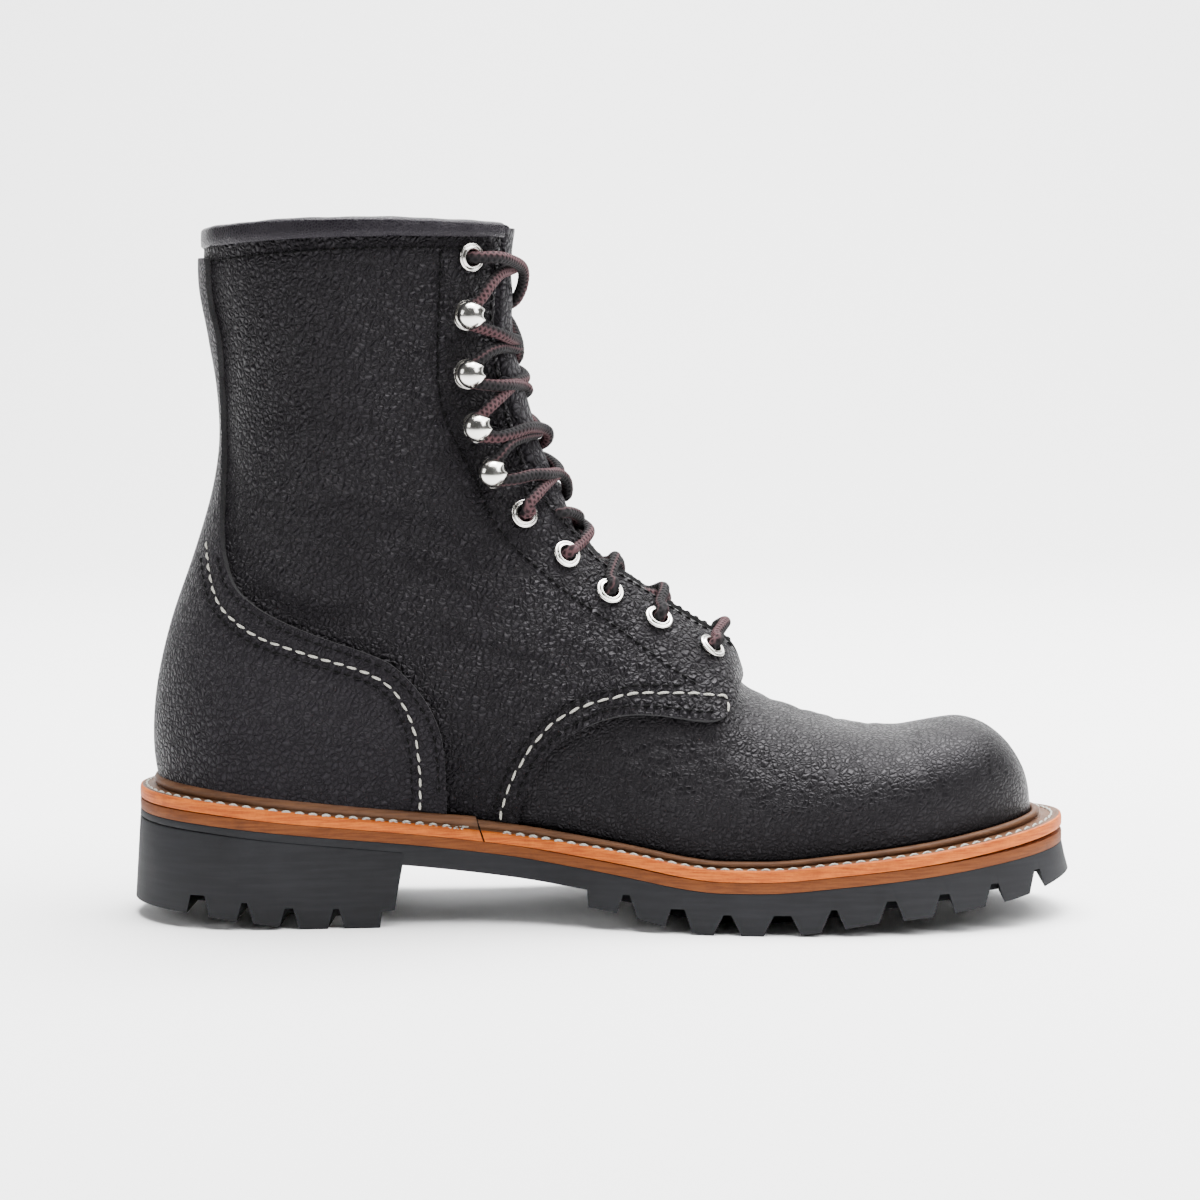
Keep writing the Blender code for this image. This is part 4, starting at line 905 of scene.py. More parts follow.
stayStitch = rounded([
    (-47.6, 217.0), (-48.3, 169.1), (-44.0, 156.3), (-39.4, 146.6), (-30.1, 127.1), (-11.0, 107.6),
    (5.0, 96.0), (17.9, 86.7), (33.9, 75.6)], 8)
collarStitch = rounded([(-127.0, 213.2), (-120.0, 214.2), (-90.0, 216.6), (-60.0, 217.6), (-34.0, 217.2)], 10)
quarterBlack = [shifted(quarterLine[44:-14], -2.6)[::-1], shifted(quarterStitch[:-26], 2.3)]
counterRows = (shifted(counterLine[14:-8], -2.2), shifted(counterStitch, -2.6))
counterBlack = [row[row[:, 1] < 119.0] for row in counterRows]


# Leather pieces

quarterPiece = {"first": 0, "final": 15.5, "rows": 230, "columns": 136, "hole": 3.3, "dip": 0.35,
                "dipWide": 6.0, "wallCut": 0.1}
quarterClosing = [
    (-24.7, 20.0), (-170.0, 20.0), (-170.0, 240.0), (0.0, 240.0), (42.0, 110.0), (44.6, 92.0),
    (46.6, 88.5), (47.4, 84.0), (47.2, 79.5)]
ankleFolds = [
    (2.6, 0.55, (-108, 108), (-92, 101), (-76, 100)),
    (2.2, 0.45, (-60, 118), (-44, 112), (-30, 100)),
    (2.8, 0.5, (-70, 130), (-52, 128), (-36, 120)),
    (2.0, 0.35, (-52, 96), (-36, 90), (-18, 84)),
    (1.8, 0.3, (-96, 132), (-82, 136), (-66, 134)),
    (3.2, 0.4, (-112, 160), (-90, 164), (-70, 160)),
    (1.6, 0.3, (-14, 92), (0, 84), (12, 80)),
    (2.4, 0.35, (-60, 186), (-56, 170), (-58, 152))]


def quarter(side, name):
    grid = sideSheet(quarterPiece, side)
    centres = [stayPlaces[k, side][2] for k in range(len(stays["front"]))]
    holes = [(centre, quarterPiece["hole"]) for centre in centres]
    base, faces = clipped(grid, np.vstack([quarterLine, quarterClosing]), side, holes)
    normals = formNormals(base)
    lift = quarterLift(base[:, 0], base[:, 2])
    relief = swell(base) + strokes(base, ankleFolds)
    relief += pressed(base, [quarterStitch, stayStitch, collarStitch] + quarterBlack)
    for centre in centres:
        gap = np.linalg.norm(base - centre, axis=1)
        relief -= quarterPiece["dip"] * np.exp(-(gap / quarterPiece["dipWide"]) ** 2)
    top = base + normals * (lift + relief)[:, None]
    under = base + normals * (lift - leather["wall"] + quarterPiece["wallCut"])[:, None]
    made = skin(name, base, top, under, faces, [shaftLeather, cutEdge, lining])
    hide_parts("upper")


vampPiece = {"first": 8.6, "final": 23, "rows": 220, "columns": 118, "under": (-9.0, 7.0), "crown": 1.6}
vampFolds = [
    (1.7, 0.34, (50, 84), (56, 74), (58, 62)),
    (1.5, 0.30, (60, 79), (66, 70), (67, 60)),
    (1.4, 0.28, (71, 74), (77, 66), (79, 56)),
    (2.2, 0.30, (30, 62), (44, 58), (58, 50)),
    (1.8, 0.26, (-10, 52), (6, 50), (20, 44)),
    (1.5, 0.22, (82, 70), (88, 62), (90, 52)),
    (2.6, 0.28, (96, 60), (104, 52), (108, 44))]


def vamp():
    # reaches back under the quarters by a seam's width
    parts = []
    hidden = quarterLine[14:] + np.array(vampPiece["under"])
    outline = np.vstack([[(14.0, 112.0)], hidden, [(hidden[-1][0], 10.0), (170.0, 10.0), (170.0, 112.0)]])
    for side in (-1, 1):
        grid = sideSheet(vampPiece, side, gap=False)
        parts.append(clipped(grid, outline, side))
    base, faces = gather(parts)
    normals = formNormals(base)
    crown = vampPiece["crown"] * np.clip(normals[:, 2], 0, 1) ** 1.5 * ease((base[:, 0] - 50) / 26)
    relief = 0.5 * swell(base) + strokes(base, vampFolds) + crown - 0.1
    top = base + normals * relief[:, None]
    under = base - normals * leather["wall"]
    made = skin("vamp", base, top, under, faces, [vampLeather, cutEdge, lining])


counterPiece = {"first": 0.2, "final": 13, "rows": 190, "columns": 120, "over": leather["counter"] + 0.3,
                "pull": 0.6}


def counterOver():
    low = [(counterLine[-1][0], 20.0), (-170.0, 20.0), (-170.0, counterLine[0][1])]
    outline = np.vstack([counterLine, low])
    base, faces = gather([clipped(sideSheet(counterPiece, side), outline, side) for side in (-1, 1)])
    normals = formNormals(base)
    pull = counterPiece["pull"]
    dip = pressed(base, [counterStitch] + counterBlack)
    relief = swell(base) + strokes(base, ankleFolds[:1]) + (1 - pull) * dip
    top = base + normals * (counterPiece["over"] + relief + pull * dip)[:, None]
    under = base + normals * (0.05 + relief)[:, None]
    made = skin("heelCounter", base, top, under, faces, [counterLeather, cutEdge, lining])
    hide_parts("counter")


quarter(-1, "quarterInner")
quarter(1, "quarterOuter")
vamp()
counterOver()
print("leather laid")


bindingPiece = {"first": 0, "final": 1, "rows": 2, "columns": 150, "skin": 1.2, "clear": 0.3,
                "frontDrop": 3.4, "rearDrop": 5.2}


def bindingProfile(low, thick):
    # section across the collar's edge: outer face, rolled top, inner face
    clear = bindingPiece["clear"]
    inner = -leather["wall"] - clear
    profile = [(clear, -low + 0.2), (clear + thick * 0.5, -low - 0.05), (clear + thick, -low + 0.5),
               (0.4 + thick, -low * 0.5)]
    wide = (clear + thick - inner + thick) / 2
    for turn in np.linspace(0, pi, 11):
        profile.append(((clear + inner) / 2 + wide * cos(turn), (thick + clear) * sin(turn)))
    return profile + [(inner - thick, -low * 0.5), (inner - thick, -low + 0.4), (inner - 0.4 * thick, -low),
                      (inner, -low + 0.3)]


def binding():
    # rolled strip over the collar's edge, from one facing round the back to the other
    near, far = (sideSheet(bindingPiece, side)[0] for side in (-1, 1))
    path = np.vstack([near[::-1], far[1:]])
    side = np.concatenate([np.full(len(near), -1), np.full(len(far) - 1, 1)])
    out = np.array([normalAt(p[0], p[1], p[2] - 3, s) for p, s in zip(path, side)])
    out[:, 2] = 0
    out /= np.linalg.norm(out, axis=1, keepdims=True)
    middle = len(near) - 1
    out[middle] = (out[middle - 1] + out[middle + 1]) / 2
    run = lengths(path)
    ahead = run / run[-1]
    rear, front = bindingPiece["rearDrop"], bindingPiece["frontDrop"]
    drop = rear - (rear - front) * np.abs(2 * ahead - 1) ** 3
    fat = bindingPiece["skin"] * (1 + 0.08 * np.sin(run / 5.3) + 0.06 * np.sin(run / 2.1 + 1))
    points = []
    for p, way, low, thick in zip(path, out, drop, fat):
        profile = bindingProfile(low, thick)
        points += [p + way * reach + np.array([0, 0, rise]) for reach, rise in profile]
    n = len(profile)
    faces = sheetFaces(len(path), n, closed=True)
    faces += [list(range(n)), list(range(len(points) - n, len(points)))[::-1]]
    made = meshOf("binding", points, faces, bindingLeather, sharp=60)
    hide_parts("collar_binding")


tonguePiece = {"rows": 230, "columns": 64, "first": 0.0, "final": 0.57, "half": 25.0, "footShare": 0.62,
               "underFacing": 1.1, "topSink": 0.9, "highRise": 1.5, "tipRise": 0.9, "ripple": 0.5}


def frontGrid(shares, wides, lift):
    # places over the front for rows of shares and distances from the middle
    rows = []
    deep = np.linspace(0, 60, 400)
    for share, acrosses in zip(shares, wides):
        spot, out = frontFrame(share)
        row = []
        for side in (-1, 1):
            picked = np.abs(acrosses[acrosses < 0] if side < 0 else acrosses[acrosses >= 0])
            at = np.interp(picked, *widths(spot, out, side, deep))
            x, z = spot[0] - out[0] * at, spot[1] - out[1] * at
            row.append(np.stack([x, centreAt(x, z) + side * picked, z], axis=-1))
        rows.append(np.vstack(row))
    grid = np.array(rows)
    return grid + formNormals(grid) * lift[..., None]


def tongue():
    shares = np.linspace(tonguePiece["first"], tonguePiece["final"], tonguePiece["rows"])
    across = np.linspace(-1, 1, tonguePiece["columns"])
    # narrow at its foot, sunk under the facings, and raised between them toward the top
    narrow = tonguePiece["footShare"]
    half = tonguePiece["half"] * (narrow + (1 - narrow) * ease((0.6 - shares) / 0.35))
    wide = half[:, None] * across
    gap = along(throat["front"], throat["half"], shares) * ease((0.5 - shares) / 0.1)
    hidden = ease((np.abs(wide) - gap[:, None] + 4) / 3.5)
    top, high, tip = (ease((start - shares) / over)[:, None]
                      for start, over in ((0.12, 0.08), (0.34, 0.2), (0.03, 0.03)))
    ripple = 0.5 * np.sin(shares * 60)[:, None] * np.cos(across * 2.2)[None]
    ripple = ripple + 0.3 * np.sin(shares * 137 + 1)[:, None]
    sink = leather["tongueSink"] + tonguePiece["underFacing"] * hidden + tonguePiece["topSink"] * top
    rise = tonguePiece["highRise"] * high + tonguePiece["tipRise"] * tip + top
    sink = sink - (1 - hidden) * (rise - tonguePiece["ripple"] * ripple)
    grid = frontGrid(shares, wide, -sink)
    normals = formNormals(grid)
    base = grid.reshape(-1, 3)
    under = (grid - normals * leather["tongue"]).reshape(-1, 3)
    faces = [face[::-1] for face in sheetFaces(*grid.shape[:2])]
    made = skin("tongueSheet", base, base, under, faces, [tongueLeather, cutEdge, lining])
    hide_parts("tongue")


binding()
tongue()
print("collar and tongue laid")


# Metal

eyeletShape = {"bore": 2.5, "roll": (3.15, 0.45, 0.65), "flange": (4.15, 0.2, 0.55, 0.5), "barrel": -2.9,
               "seat": -0.25}


def eyeletProfile():
    # barrel, inner roll and lower outer flange
    barrel, seat = eyeletShape["barrel"], eyeletShape["seat"]
    points = [(eyeletShape["bore"] + 0.05, barrel), (eyeletShape["bore"], 0.2)]
    x, z, size = eyeletShape["roll"]
    points += [(x + size * cos(turn), z + size * sin(turn)) for turn in np.linspace(pi, radians(25), 9)]
    x, z, wide, high = eyeletShape["flange"]
    points += [(x + wide * cos(turn), z + high * sin(turn))
               for turn in np.linspace(radians(125), radians(-30), 8)]
    return points + [(4.3, seat), (3.1, seat), (3.0, barrel)]


def hookAt(k, side):
    # seat and axis of a hook: its post leans outward from the leather
    spot, normal, _ = stayPlaces[k, side]
    back = overFront(stays["front"][k], side * (stays["across"][k] + 3), quarterLift)[0] - spot
    back /= np.linalg.norm(back)
    axis = normal + hookShape["lean"] * np.array([0, side, 0])
    return spot + back * hookShape["back"], axis / np.linalg.norm(axis), -back


hookShape = {"radius": 4.45, "height": 9.1, "rim": 5.7, "neck": 0.8, "set": 1.0, "lean": 0.45, "back": 1.2}
beak = table(("angle", "reach"), [
    (0, 0.86), (7, 0.90), (14, 1.0), (21, 1.17), (30, 1.10), (42, 1.03), (60, 1.0), (180, 1.0)])


def hookParts(spot, axis, forward):
    r, rim, top, neck = (hookShape[name] for name in ("radius", "rim", "height", "neck"))
    base = [(0, -0.6), (4.95, -0.6), (5.0, 0.5), (4.8, 0.75), (4.3, 0.8), (4.2, 1.2), (3.9, 1.35), (1.6, 1.5),
            (neck, 1.9), (neck, rim - 0.3), (0, rim - 0.3)]
    cap = [(0, rim - 0.2), (r * 0.6, rim - 0.15), (r * 0.93, rim - 0.35), (r, rim - 0.15)]
    cap += [(r * cos(t), rim + (top - rim) * sin(t)) for t in np.linspace(0.08, pi / 2, 12)]

    def flare(turn, n):
        # the cap's front edge is drawn in at its middle and out to two points beside it
        off = np.abs((turn + pi) % (2 * pi) - pi)
        share = min(1.0, cap[n][0] / r) ** 3
        return 1 + (np.interp(off, np.radians(beak["angle"]), beak["reach"]) - 1) * share

    return [turnedParts(base, spot, axis, forward, 40, closed=False),
            turnedParts(cap, spot - forward * hookShape["set"], axis, forward, 72, flare, closed=False)]


def metal():
    for side, tag in ((-1, "inner"), (1, "outer")):
        for number, k in enumerate(eyeletRows, 1):
            spot, normal, _ = stayPlaces[k, side]
            parts = turnedParts(eyeletProfile(), spot + normal * 0.1, normal, np.array([1.0, 0, 0]), 44)
            made = meshOf(f"eyelet{tag.title()}{number}", *parts, nickel, sharp=50)
            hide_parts(f"eyelet_{tag}_{number}")
        for number, k in enumerate(hookRows, 1):
            spot, normal, ahead = hookAt(k, side)
            parts = gather(hookParts(spot - normal * 0.5, normal, ahead))
            made = meshOf(f"hook{tag.title()}{number}", *parts, nickel, sharp=40)
            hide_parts(f"hook_{tag}_{number}")


metal()
print("metal set")


# Laces

lacePiece = {"radius": 1.9, "step": 0.36, "sides": 24, "plait": 1.7, "twist": 160.0, "wrapLevel": 3.1}

# runs of the lace over the tongue: rising from a stay of the inner side, or arriving at one
rising = {
    1: [(21.0, -14.0, 102.0), (22.0, -8.0, 104.8), (21.6, -1.0, 106.4)],
    2: [(5.0, -15.0, 110.0), (5.6, -9.0, 113.8), (6.2, -2.0, 116.6)],
    3: [(-7.5, -17.0, 119.5), (-5.5, -12.0, 121.0), (-3.0, -6.0, 123.5), (-2.5, 0.0, 125.5)],
    4: [(-21.5, -24.5, 134.5), (-19.0, -22.5, 137.5), (-16.5, -17.0, 140.5), (-14.5, -9.5, 142.5),
        (-12.0, -1.0, 145.0)],
    5: [(-30.0, -26.0, 150.5), (-27.5, -24.0, 154.0), (-24.5, -18.5, 156.0), (-21.5, -11.0, 157.0),
        (-18.5, -1.0, 158.0)],
    6: [(-35.0, -26.5, 164.5), (-32.0, -24.5, 167.5), (-28.5, -19.0, 171.0), (-26.0, -11.0, 173.5),
        (-23.0, -1.0, 175.5)],
    7: [(-36.5, -26.0, 181.5), (-33.5, -23.5, 184.0), (-30.0, -18.0, 185.5), (-28.0, -10.0, 185.5),
        (-25.0, -2.0, 185.5)],
    8: [(-36.0, -25.0, 200.5), (-33.0, -23.0, 205.0), (-30.0, -17.0, 209.0), (-27.6, -7.0, 210.5),
        (-25.8, -1.0, 211.5)]}
arriving = {
    4: [(-7.5, 4.5, 125.0), (-6.0, 0.0, 128.0), (-5.5, -4.0, 130.0), (-7.5, -9.0, 131.5),
        (-10.5, -14.0, 132.0)],
    5: [(-10.5, 6.0, 136.0), (-9.5, 3.0, 138.5), (-10.0, 0.0, 142.0), (-12.0, -4.0, 144.0),
        (-15.5, -15.5, 144.5), (-20.0, -20.5, 144.5), (-24.5, -24.5, 143.5)],
    6: [(-18.0, 5.5, 153.5), (-16.0, 2.5, 155.0), (-15.5, 0.0, 157.5), (-17.5, -4.0, 159.0),
        (-21.5, -16.0, 159.5), (-26.0, -22.0, 158.0), (-30.0, -25.5, 157.0)],
    7: [(-25.0, 6.0, 169.0), (-23.0, 2.5, 170.5), (-22.0, 0.0, 171.5), (-23.5, -4.0, 173.0),
        (-27.0, -18.0, 173.5), (-31.0, -23.0, 173.5)],
    8: [(-28.0, 5.5, 180.0), (-25.5, 2.5, 182.0), (-25.0, 0.0, 185.0), (-25.3, -3.5, 187.4),
        (-27.5, -15.5, 188.8), (-31.0, -21.0, 190.5)],
    9: [(-26.0, 4.5, 201.0), (-24.0, 2.5, 204.5), (-23.0, 0.0, 208.5), (-23.3, -3.5, 211.3),
        (-26.0, -12.0, 213.4), (-30.5, -20.5, 214.5)]}


def overPlace(share, across, rise):
    spot, normal = overFront(share, across)
    return spot + normal * rise


def groundRise(share, across):
    # height of tongue or quarter over the form at a place of the front
    gap = float(along(throat["front"], throat["half"], share))
    spot, _ = overFront(share, across)
    up = float(quarterLift(spot[0], spot[2]))
    part = float(ease((abs(across) - gap + 0.6) / 1.2))
    return -leather["tongueSink"] * (1 - part) + up * part


def resting(share, across, loose=0.3):
    return overPlace(share, across, groundRise(share, across) + lacePiece["radius"] + loose)


def tucked(k, side):
    # under the facing, from its edge toward stay k + 1
    here, there, b = stays["front"][k], stays["front"][k + 1], stays["across"][k + 1]
    gap = float(along(throat["front"], throat["half"], (here + there) / 2))
    return [overPlace(here + u * (there - here), side * across, rise)
            for u, across, rise in ((0.5, gap - 1.8, -0.9), (0.72, gap + 3.5, -2.4), (0.95, b - 1.0, -4.2))]


def crossing(k, side):
    # run between stay k on one side and stay k + 1 on the other
    here, there = stays["front"][k], stays["front"][k + 1]
    pitch, a, b = there - here, stays["across"][k], stays["across"][k + 1]
    narrow = k < 4
    if side < 0:
        points = [np.array(p) for p in rising[k]]
        if narrow:
            return points + ([overPlace(here + 0.36 * pitch, 3.5, 0.8)] if k < 3 else []) + tucked(k, 1)
        return points + [resting(there - 0.14 * pitch, 0.45 * b), resting(there - 0.05 * pitch, b - 4.5)]
    if k < 3:
        low = [resting(here + 0.06 * pitch, a - 4.0), resting(here + 0.2 * pitch, 7.5, 0.1),
               overPlace(here + 0.3 * pitch, 0.0, 0.2)]
        return low + tucked(k, -1)
    low = [resting(here + 0.06 * pitch, a - 4.5), resting(here + 0.16 * pitch, 0.5 * a)]
    return low + [np.array(p) for p in arriving[k + 1]] + (tucked(k, -1)[1:] if narrow else [])


bar = [(42.2, 0.0, 94.6), (41.0, 7.0, 93.6), (39.2, 14.0, 91.4)]


def laceHalf(side):
    # from the middle of the bar to the collar's eyelet
    share = stays["front"][0]
    points = [np.array([x, side * y, z]) for x, y, z in bar]
    points += plunge(0, side, down=True)
    points += [overPlace(share - 0.02, side * 9.0, -4.6), overPlace(share - 0.033, 0.0, -4.2 - 0.6 * side),
               overPlace(share - 0.05, -side * 9.0, -4.6)]
    now, top = -side, len(stays["front"]) - 1
    for k in range(1, top):
        points += aroundHook(k, now) if stays["hook"][k] else plunge(k, now, down=False)
        points += crossing(k, now)
        now = -now
    points += plunge(top, now, down=True)
    spot, normal, _ = stayPlaces[top, now]
    return points + [spot - normal * 9.0 + np.array([3.0, 0, -3.0])]


def plunge(k, side, down):
    # through an eyelet, from below up to the leather, or the other way
    spot, normal, _ = stayPlaces[k, side]
    toward = overFront(stays["front"][k], side * (stays["across"][k] - 3), quarterLift)[0] - spot
    toward /= np.linalg.norm(toward)
    route = ((-4.6, 0), (-1.6, 0), (0.9, 0.3), (2.5, 1.9))
    path = [spot + normal * rise + toward * over for rise, over in route]
    return path[::-1] if down else path


def aroundHook(k, side):
    spot, normal, _ = hookAt(k, side)
    front, across = stays["front"][k], side * stays["across"][k]
    upward = overPlace(front - 0.01, across, 0) - overPlace(front + 0.01, across, 0)
    upward -= normal * np.dot(upward, normal)
    upward /= np.linalg.norm(upward)
    away = np.cross(normal, upward)
    away *= 1 if away[1] * side > 0 else -1
    wrap, level = hookShape["neck"] + lacePiece["radius"] + 0.1, lacePiece["wrapLevel"]
    return [spot + normal * (level + 0.35 * turn) + wrap * (sin(turn) * upward + cos(turn) * away)
            for turn in np.linspace(-1.3, 1.3, 7)]


def laces():
    path = np.array(laceHalf(-1)[::-1] + laceHalf(1)[1:])
    smooth = rounded(path, 14)
    count = int(lengths(smooth)[-1] / lacePiece["step"])
    line = evenly(smooth, count)
    pull = np.array([1, 4, 6, 4, 1]) / 16
    for _ in range(6):
        # eases the bends
        line[2:-2] = sum(pull[c] * line[c:len(line) - 4 + c] for c in range(5))
    sides = lacePiece["sides"]
    turn = np.arange(sides) / sides
    run = lengths(line)
    angle = 2 * pi * (turn[None] + run[:, None] / lacePiece["twist"])
    u = run[:, None] / lacePiece["plait"] + 0 * turn[None]
    weave = np.maximum(np.sin(2 * pi * (u + 4 * turn[None])), np.sin(2 * pi * (u - 4 * turn[None])))
    radius = lacePiece["radius"] * (0.97 + 0.055 * weave)
    made = meshOf("laces", *tubeParts(line, *frames(line), angle, radius), cord)
    band = np.exp(-((turn - 0.3) / 0.17) ** 4) + 0.8 * np.exp(-((turn - 0.8) / 0.03) ** 2)
    stripe = np.clip(band[None] + 0 * u, 0, 1)
    for label, values in (("weave", weave), ("stripe", stripe)):
        field = made.data.attributes.new(label, "FLOAT", "POINT")
        field.data.foreach_set("value", np.ascontiguousarray(values, np.float32).ravel())
    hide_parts("lace_bar", "lace_cross_2", "lace_cross_3", "lace_cross_4", "laces_upper")
    print("lace", round(float(run[-1])), "mm long")


laces()


# Stitching of the upper

def sideRow(line, side, lift):
    base = np.column_stack([line[:, 0], outer(line[:, 0], line[:, 1], side), line[:, 1]])
    normals = normalAt(base[:, 0], base[:, 1], base[:, 2], side)
    rise = lift(base[:, 0], base[:, 2]) if callable(lift) else lift + 0 * base[:, 0]
    return base + normals * (rise + swell(base) + strokes(base, ankleFolds))[:, None], normals


facingPiece = {"first": 0.3, "final": 12.4, "rows": 200, "columns": 90, "inset": 1.8}


def facingRow(side):
    # a row at a distance inside the facing's edge
    row = []
    for line in sideSheet(facingPiece, side):
        run = lengths(line)
        row.append(atRun(line, run, run[-1] - facingPiece["inset"]))
    row = np.array(row)
    normals = formNormals(row)
    return row + normals * (quarterLift(row[:, 0], row[:, 2]) + swell(row))[:, None], normals


stitches = {"pale": {"share": 0.74, "radius": 0.42}, "black": {"share": 0.72, "radius": 0.34},
            "paleSunk": 0.25, "blackSunk": 0.22}


def stitching():
    pale, black = [], []
    over, sunk = counterPiece["over"], stitches["blackSunk"]

    def onQuarter(depth):
        return lambda x, z: quarterLift(x, z) - depth

    paleRows = [(counterStitch, over - stitches["paleSunk"], 4.3),
                (quarterStitch, onQuarter(stitches["paleSunk"]), 4.9)]
    blackRows = [(line, over - sunk, 3.4) for line in counterBlack]
    blackRows += [(line, onQuarter(sunk), 3.4) for line in quarterBlack]
    blackRows += [(line, onQuarter(sunk), 3.2) for line in (stayStitch, collarStitch)]
    for side in (-1, 1):
        for line, lift, pitch in paleRows:
            pale += stitchParts(*sideRow(line, side, lift), pitch, **stitches["pale"])
        for line, lift, pitch in blackRows:
            black += stitchParts(*sideRow(line, side, lift), pitch, **stitches["black"])
        black += stitchParts(*facingRow(side), 3.2, **stitches["black"])
    for name, parts, finish in (("paleStitches", pale, paleThread), ("blackStitches", black, blackThread)):
        made = meshOf(name, *gather(parts), finish)


stitching()
print("upper stitched")


# The sole

def ring(stations):
    x = place(stations)
    near, far = (outer(x, featherLevel(x), side) for side in (-1, 1))
    loop = np.stack([np.concatenate([x, x[-2:0:-1]]), np.concatenate([near, far[-2:0:-1]])], axis=-1)
    way = np.roll(loop, -1, axis=0) - np.roll(loop, 1, axis=0)
    way /= np.maximum(np.linalg.norm(way, axis=1, keepdims=True), 1e-9)
    return loop, np.stack([way[:, 1], -way[:, 0]], axis=-1)


tread = {"breastTop": -62.0, "breastFoot": -64.6, "breastStep": 4.0, "stepTop": -2.6, "stepFoot": -1.0,
         "lug": 21.0, "channel": 5.0, "lipClose": 0.22, "breastSlant": -0.1, "under": 4.0}

# place, width at the tread and width at the roof of each groove
foreGrooves = [(10.1, 6.7, 2.1), (26.5, 8.5, 4.3), (42.2, 8.8, 2.4), (59.6, 12.0, 5.4), (75.8, 7.5, 1.8),
               (94.0, 7.9, 2.8), (110.9, 7.1, 3.0), (127.3, 6.4, 2.4), (141.8, 5.2, 1.8)]
heelGrooves = [(-83.4, 5.4, 1.8), (-98.4, 6.4, 2.6), (-112.6, 5.6, 1.7), (-128.2, 7.8, 4.8)]
featherLoop, featherOut = ring((1 - np.cos(np.linspace(0, pi, 211))) / 2)
extension = foot("extension", featherLoop[:, 0])


def leanOut(rise):
    # how far the upper's wall has moved out at a height over the feather line
    near, far = np.full(len(featherLoop), -1.0), np.full(len(featherLoop), 9.0)
    z = featherLevel(featherLoop[:, 0]) + rise
    for _ in range(16):
        middle = (near + far) / 2
        x, y = (featherLoop + featherOut * middle[:, None]).T
        off = y - centreAt(x, z)
        inside = off ** 2 < np.where(off < 0, halfSquared(x, z, -1), halfSquared(x, z, 1))
        near, far = np.where(inside, middle, near), np.where(inside, far, middle)
    return np.maximum((near + far) / 2, 0.0)


weltPiece = {"rib": 2.4, "inner": -3.4, "joint": -37.5, "gap": 0.3, "slant": 0.35, "curl": 0.9,
             "curlOver": 14.0, "jointOver": 3.0, "pitch": 4.3, "threads": 9}


def weltProfile():
    # reach, height and finish of each line along the welt, from the lower edge round to the inside
    rib = foot("rib", featherLoop[:, 0])
    clear = foot("ribGap", featherLoop[:, 0])
    full, part = clear + leanOut(rib), clear + leanOut(0.5 * rib)
    w, inner = layers["welt"], weltPiece["inner"] + 0 * rib
    edge = [(-0.1, 0.0, 0), (0.02, 0.12, 0), (0.08, 0.5, 0), (0.14, w * 0.5, 0), (0, w - 0.7, 0),
            (-0.15, w - 0.25, 0), (-0.7, w, 1)]
    bead = [(0.9, -0.1, 0), (-0.5, 0, 0.1), (-0.1, 0, 0.38), (0, 0, 0.62), (-0.45, 0, 0.88),
            (-0.5 * weltPiece["rib"], 0, 1.0)]
    profile = [(extension + reach, rise, slot) for reach, rise, slot in edge]
    profile += [(full + weltPiece["rib"] + reach, w + rise + share * rib, 1) for reach, rise, share in bead]
    return profile + [(full + 0.3, w + 0.95 * rib, 1), (full, w + 0.8 * rib, 1), (part, w + 0.4 * rib, 1),
                      (clear, w, 1), (inner, w, 1), (inner, 0.0, 0)]


def welt():
    # strip with a rib along the upper, butted at the inner waist
    profile = weltProfile()
    n = len(featherLoop)
    start = int(np.argmin(np.abs(featherLoop[:n // 2, 0] - weltPiece["joint"])))
    order = np.roll(np.arange(n), -start)
    order = np.concatenate([order, order[:1]])
    loop, out = featherLoop[order], featherOut[order]
    tangent = np.stack([-out[:, 1], out[:, 0]], axis=-1)
    run = lengths(loop)
    points = []
    nearStart, nearEnd = (np.exp(-(off / weltPiece["jointOver"]) ** 2) for off in (run, run[-1] - run))
    curl = weltPiece["curl"] * np.exp(-((run[-1] - run) / weltPiece["curlOver"]) ** 2)
    for reach, rise, _ in profile:
        rise = np.broadcast_to(rise, (n,))[order]
        reach = np.broadcast_to(reach, (n,))[order]
        up = rise + curl * ease((rise - layers["welt"]) / 2)
        moved = loop + out * reach[:, None]
        slide = -weltPiece["slant"] * (rise - 2)
        moved = moved + tangent * ((weltPiece["gap"] + slide) * nearStart)[:, None]
        moved = moved + tangent * ((slide - weltPiece["gap"]) * nearEnd)[:, None]
        points.append(np.column_stack([moved, weltLevel(moved[:, 0]) + up]))
    grid = np.array(points)
    m, c = len(profile), len(order)
    faces, slots = [], []
    for p in range(m):
        for k in range(c - 1):
            q = (p + 1) % m
            faces.append([p * c + k, q * c + k, q * c + k + 1, p * c + k + 1])
            slots.append(profile[p][2])
    faces += [[p * c for p in range(m)], [p * c + c - 1 for p in range(m)][::-1]]
    slots += [2, 2]
    faces = [face[::-1] for face in faces]
    made = meshOf("welt", grid.reshape(-1, 3), faces, [weltEdge, ribLeather, cutEdge], slots, 50)
    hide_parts("welt")
    return grid[7] * 0.45 + grid[6] * 0.55


def weltStitches(row):
    # the welt's seam, and the loose curls of thread where it ends
    up = np.tile([0.0, 0.0, 1.0], (len(row), 1))
    parts = stitchParts(row[3:-3], up[3:-3], weltPiece["pitch"], 0.66, 0.46, 0.2)
    end = row[-1]
    for _ in range(weltPiece["threads"]):
        spot = end + np.array([random.uniform(-9, -3), random.uniform(-0.6, 0.6), 0.4])
        turns = np.linspace(0, random.uniform(2.5, 5.0), 9)
        curl = np.stack([1.6 * np.cos(turns), 0.7 * np.sin(turns), 0.5 * np.sin(turns * 1.7) + 0.3], axis=-1)
        parts.append(threadParts(spot + curl * random.uniform(0.5, 1.1), 0.34))
    meshOf("weltStitches", *gather(parts), paleThread)


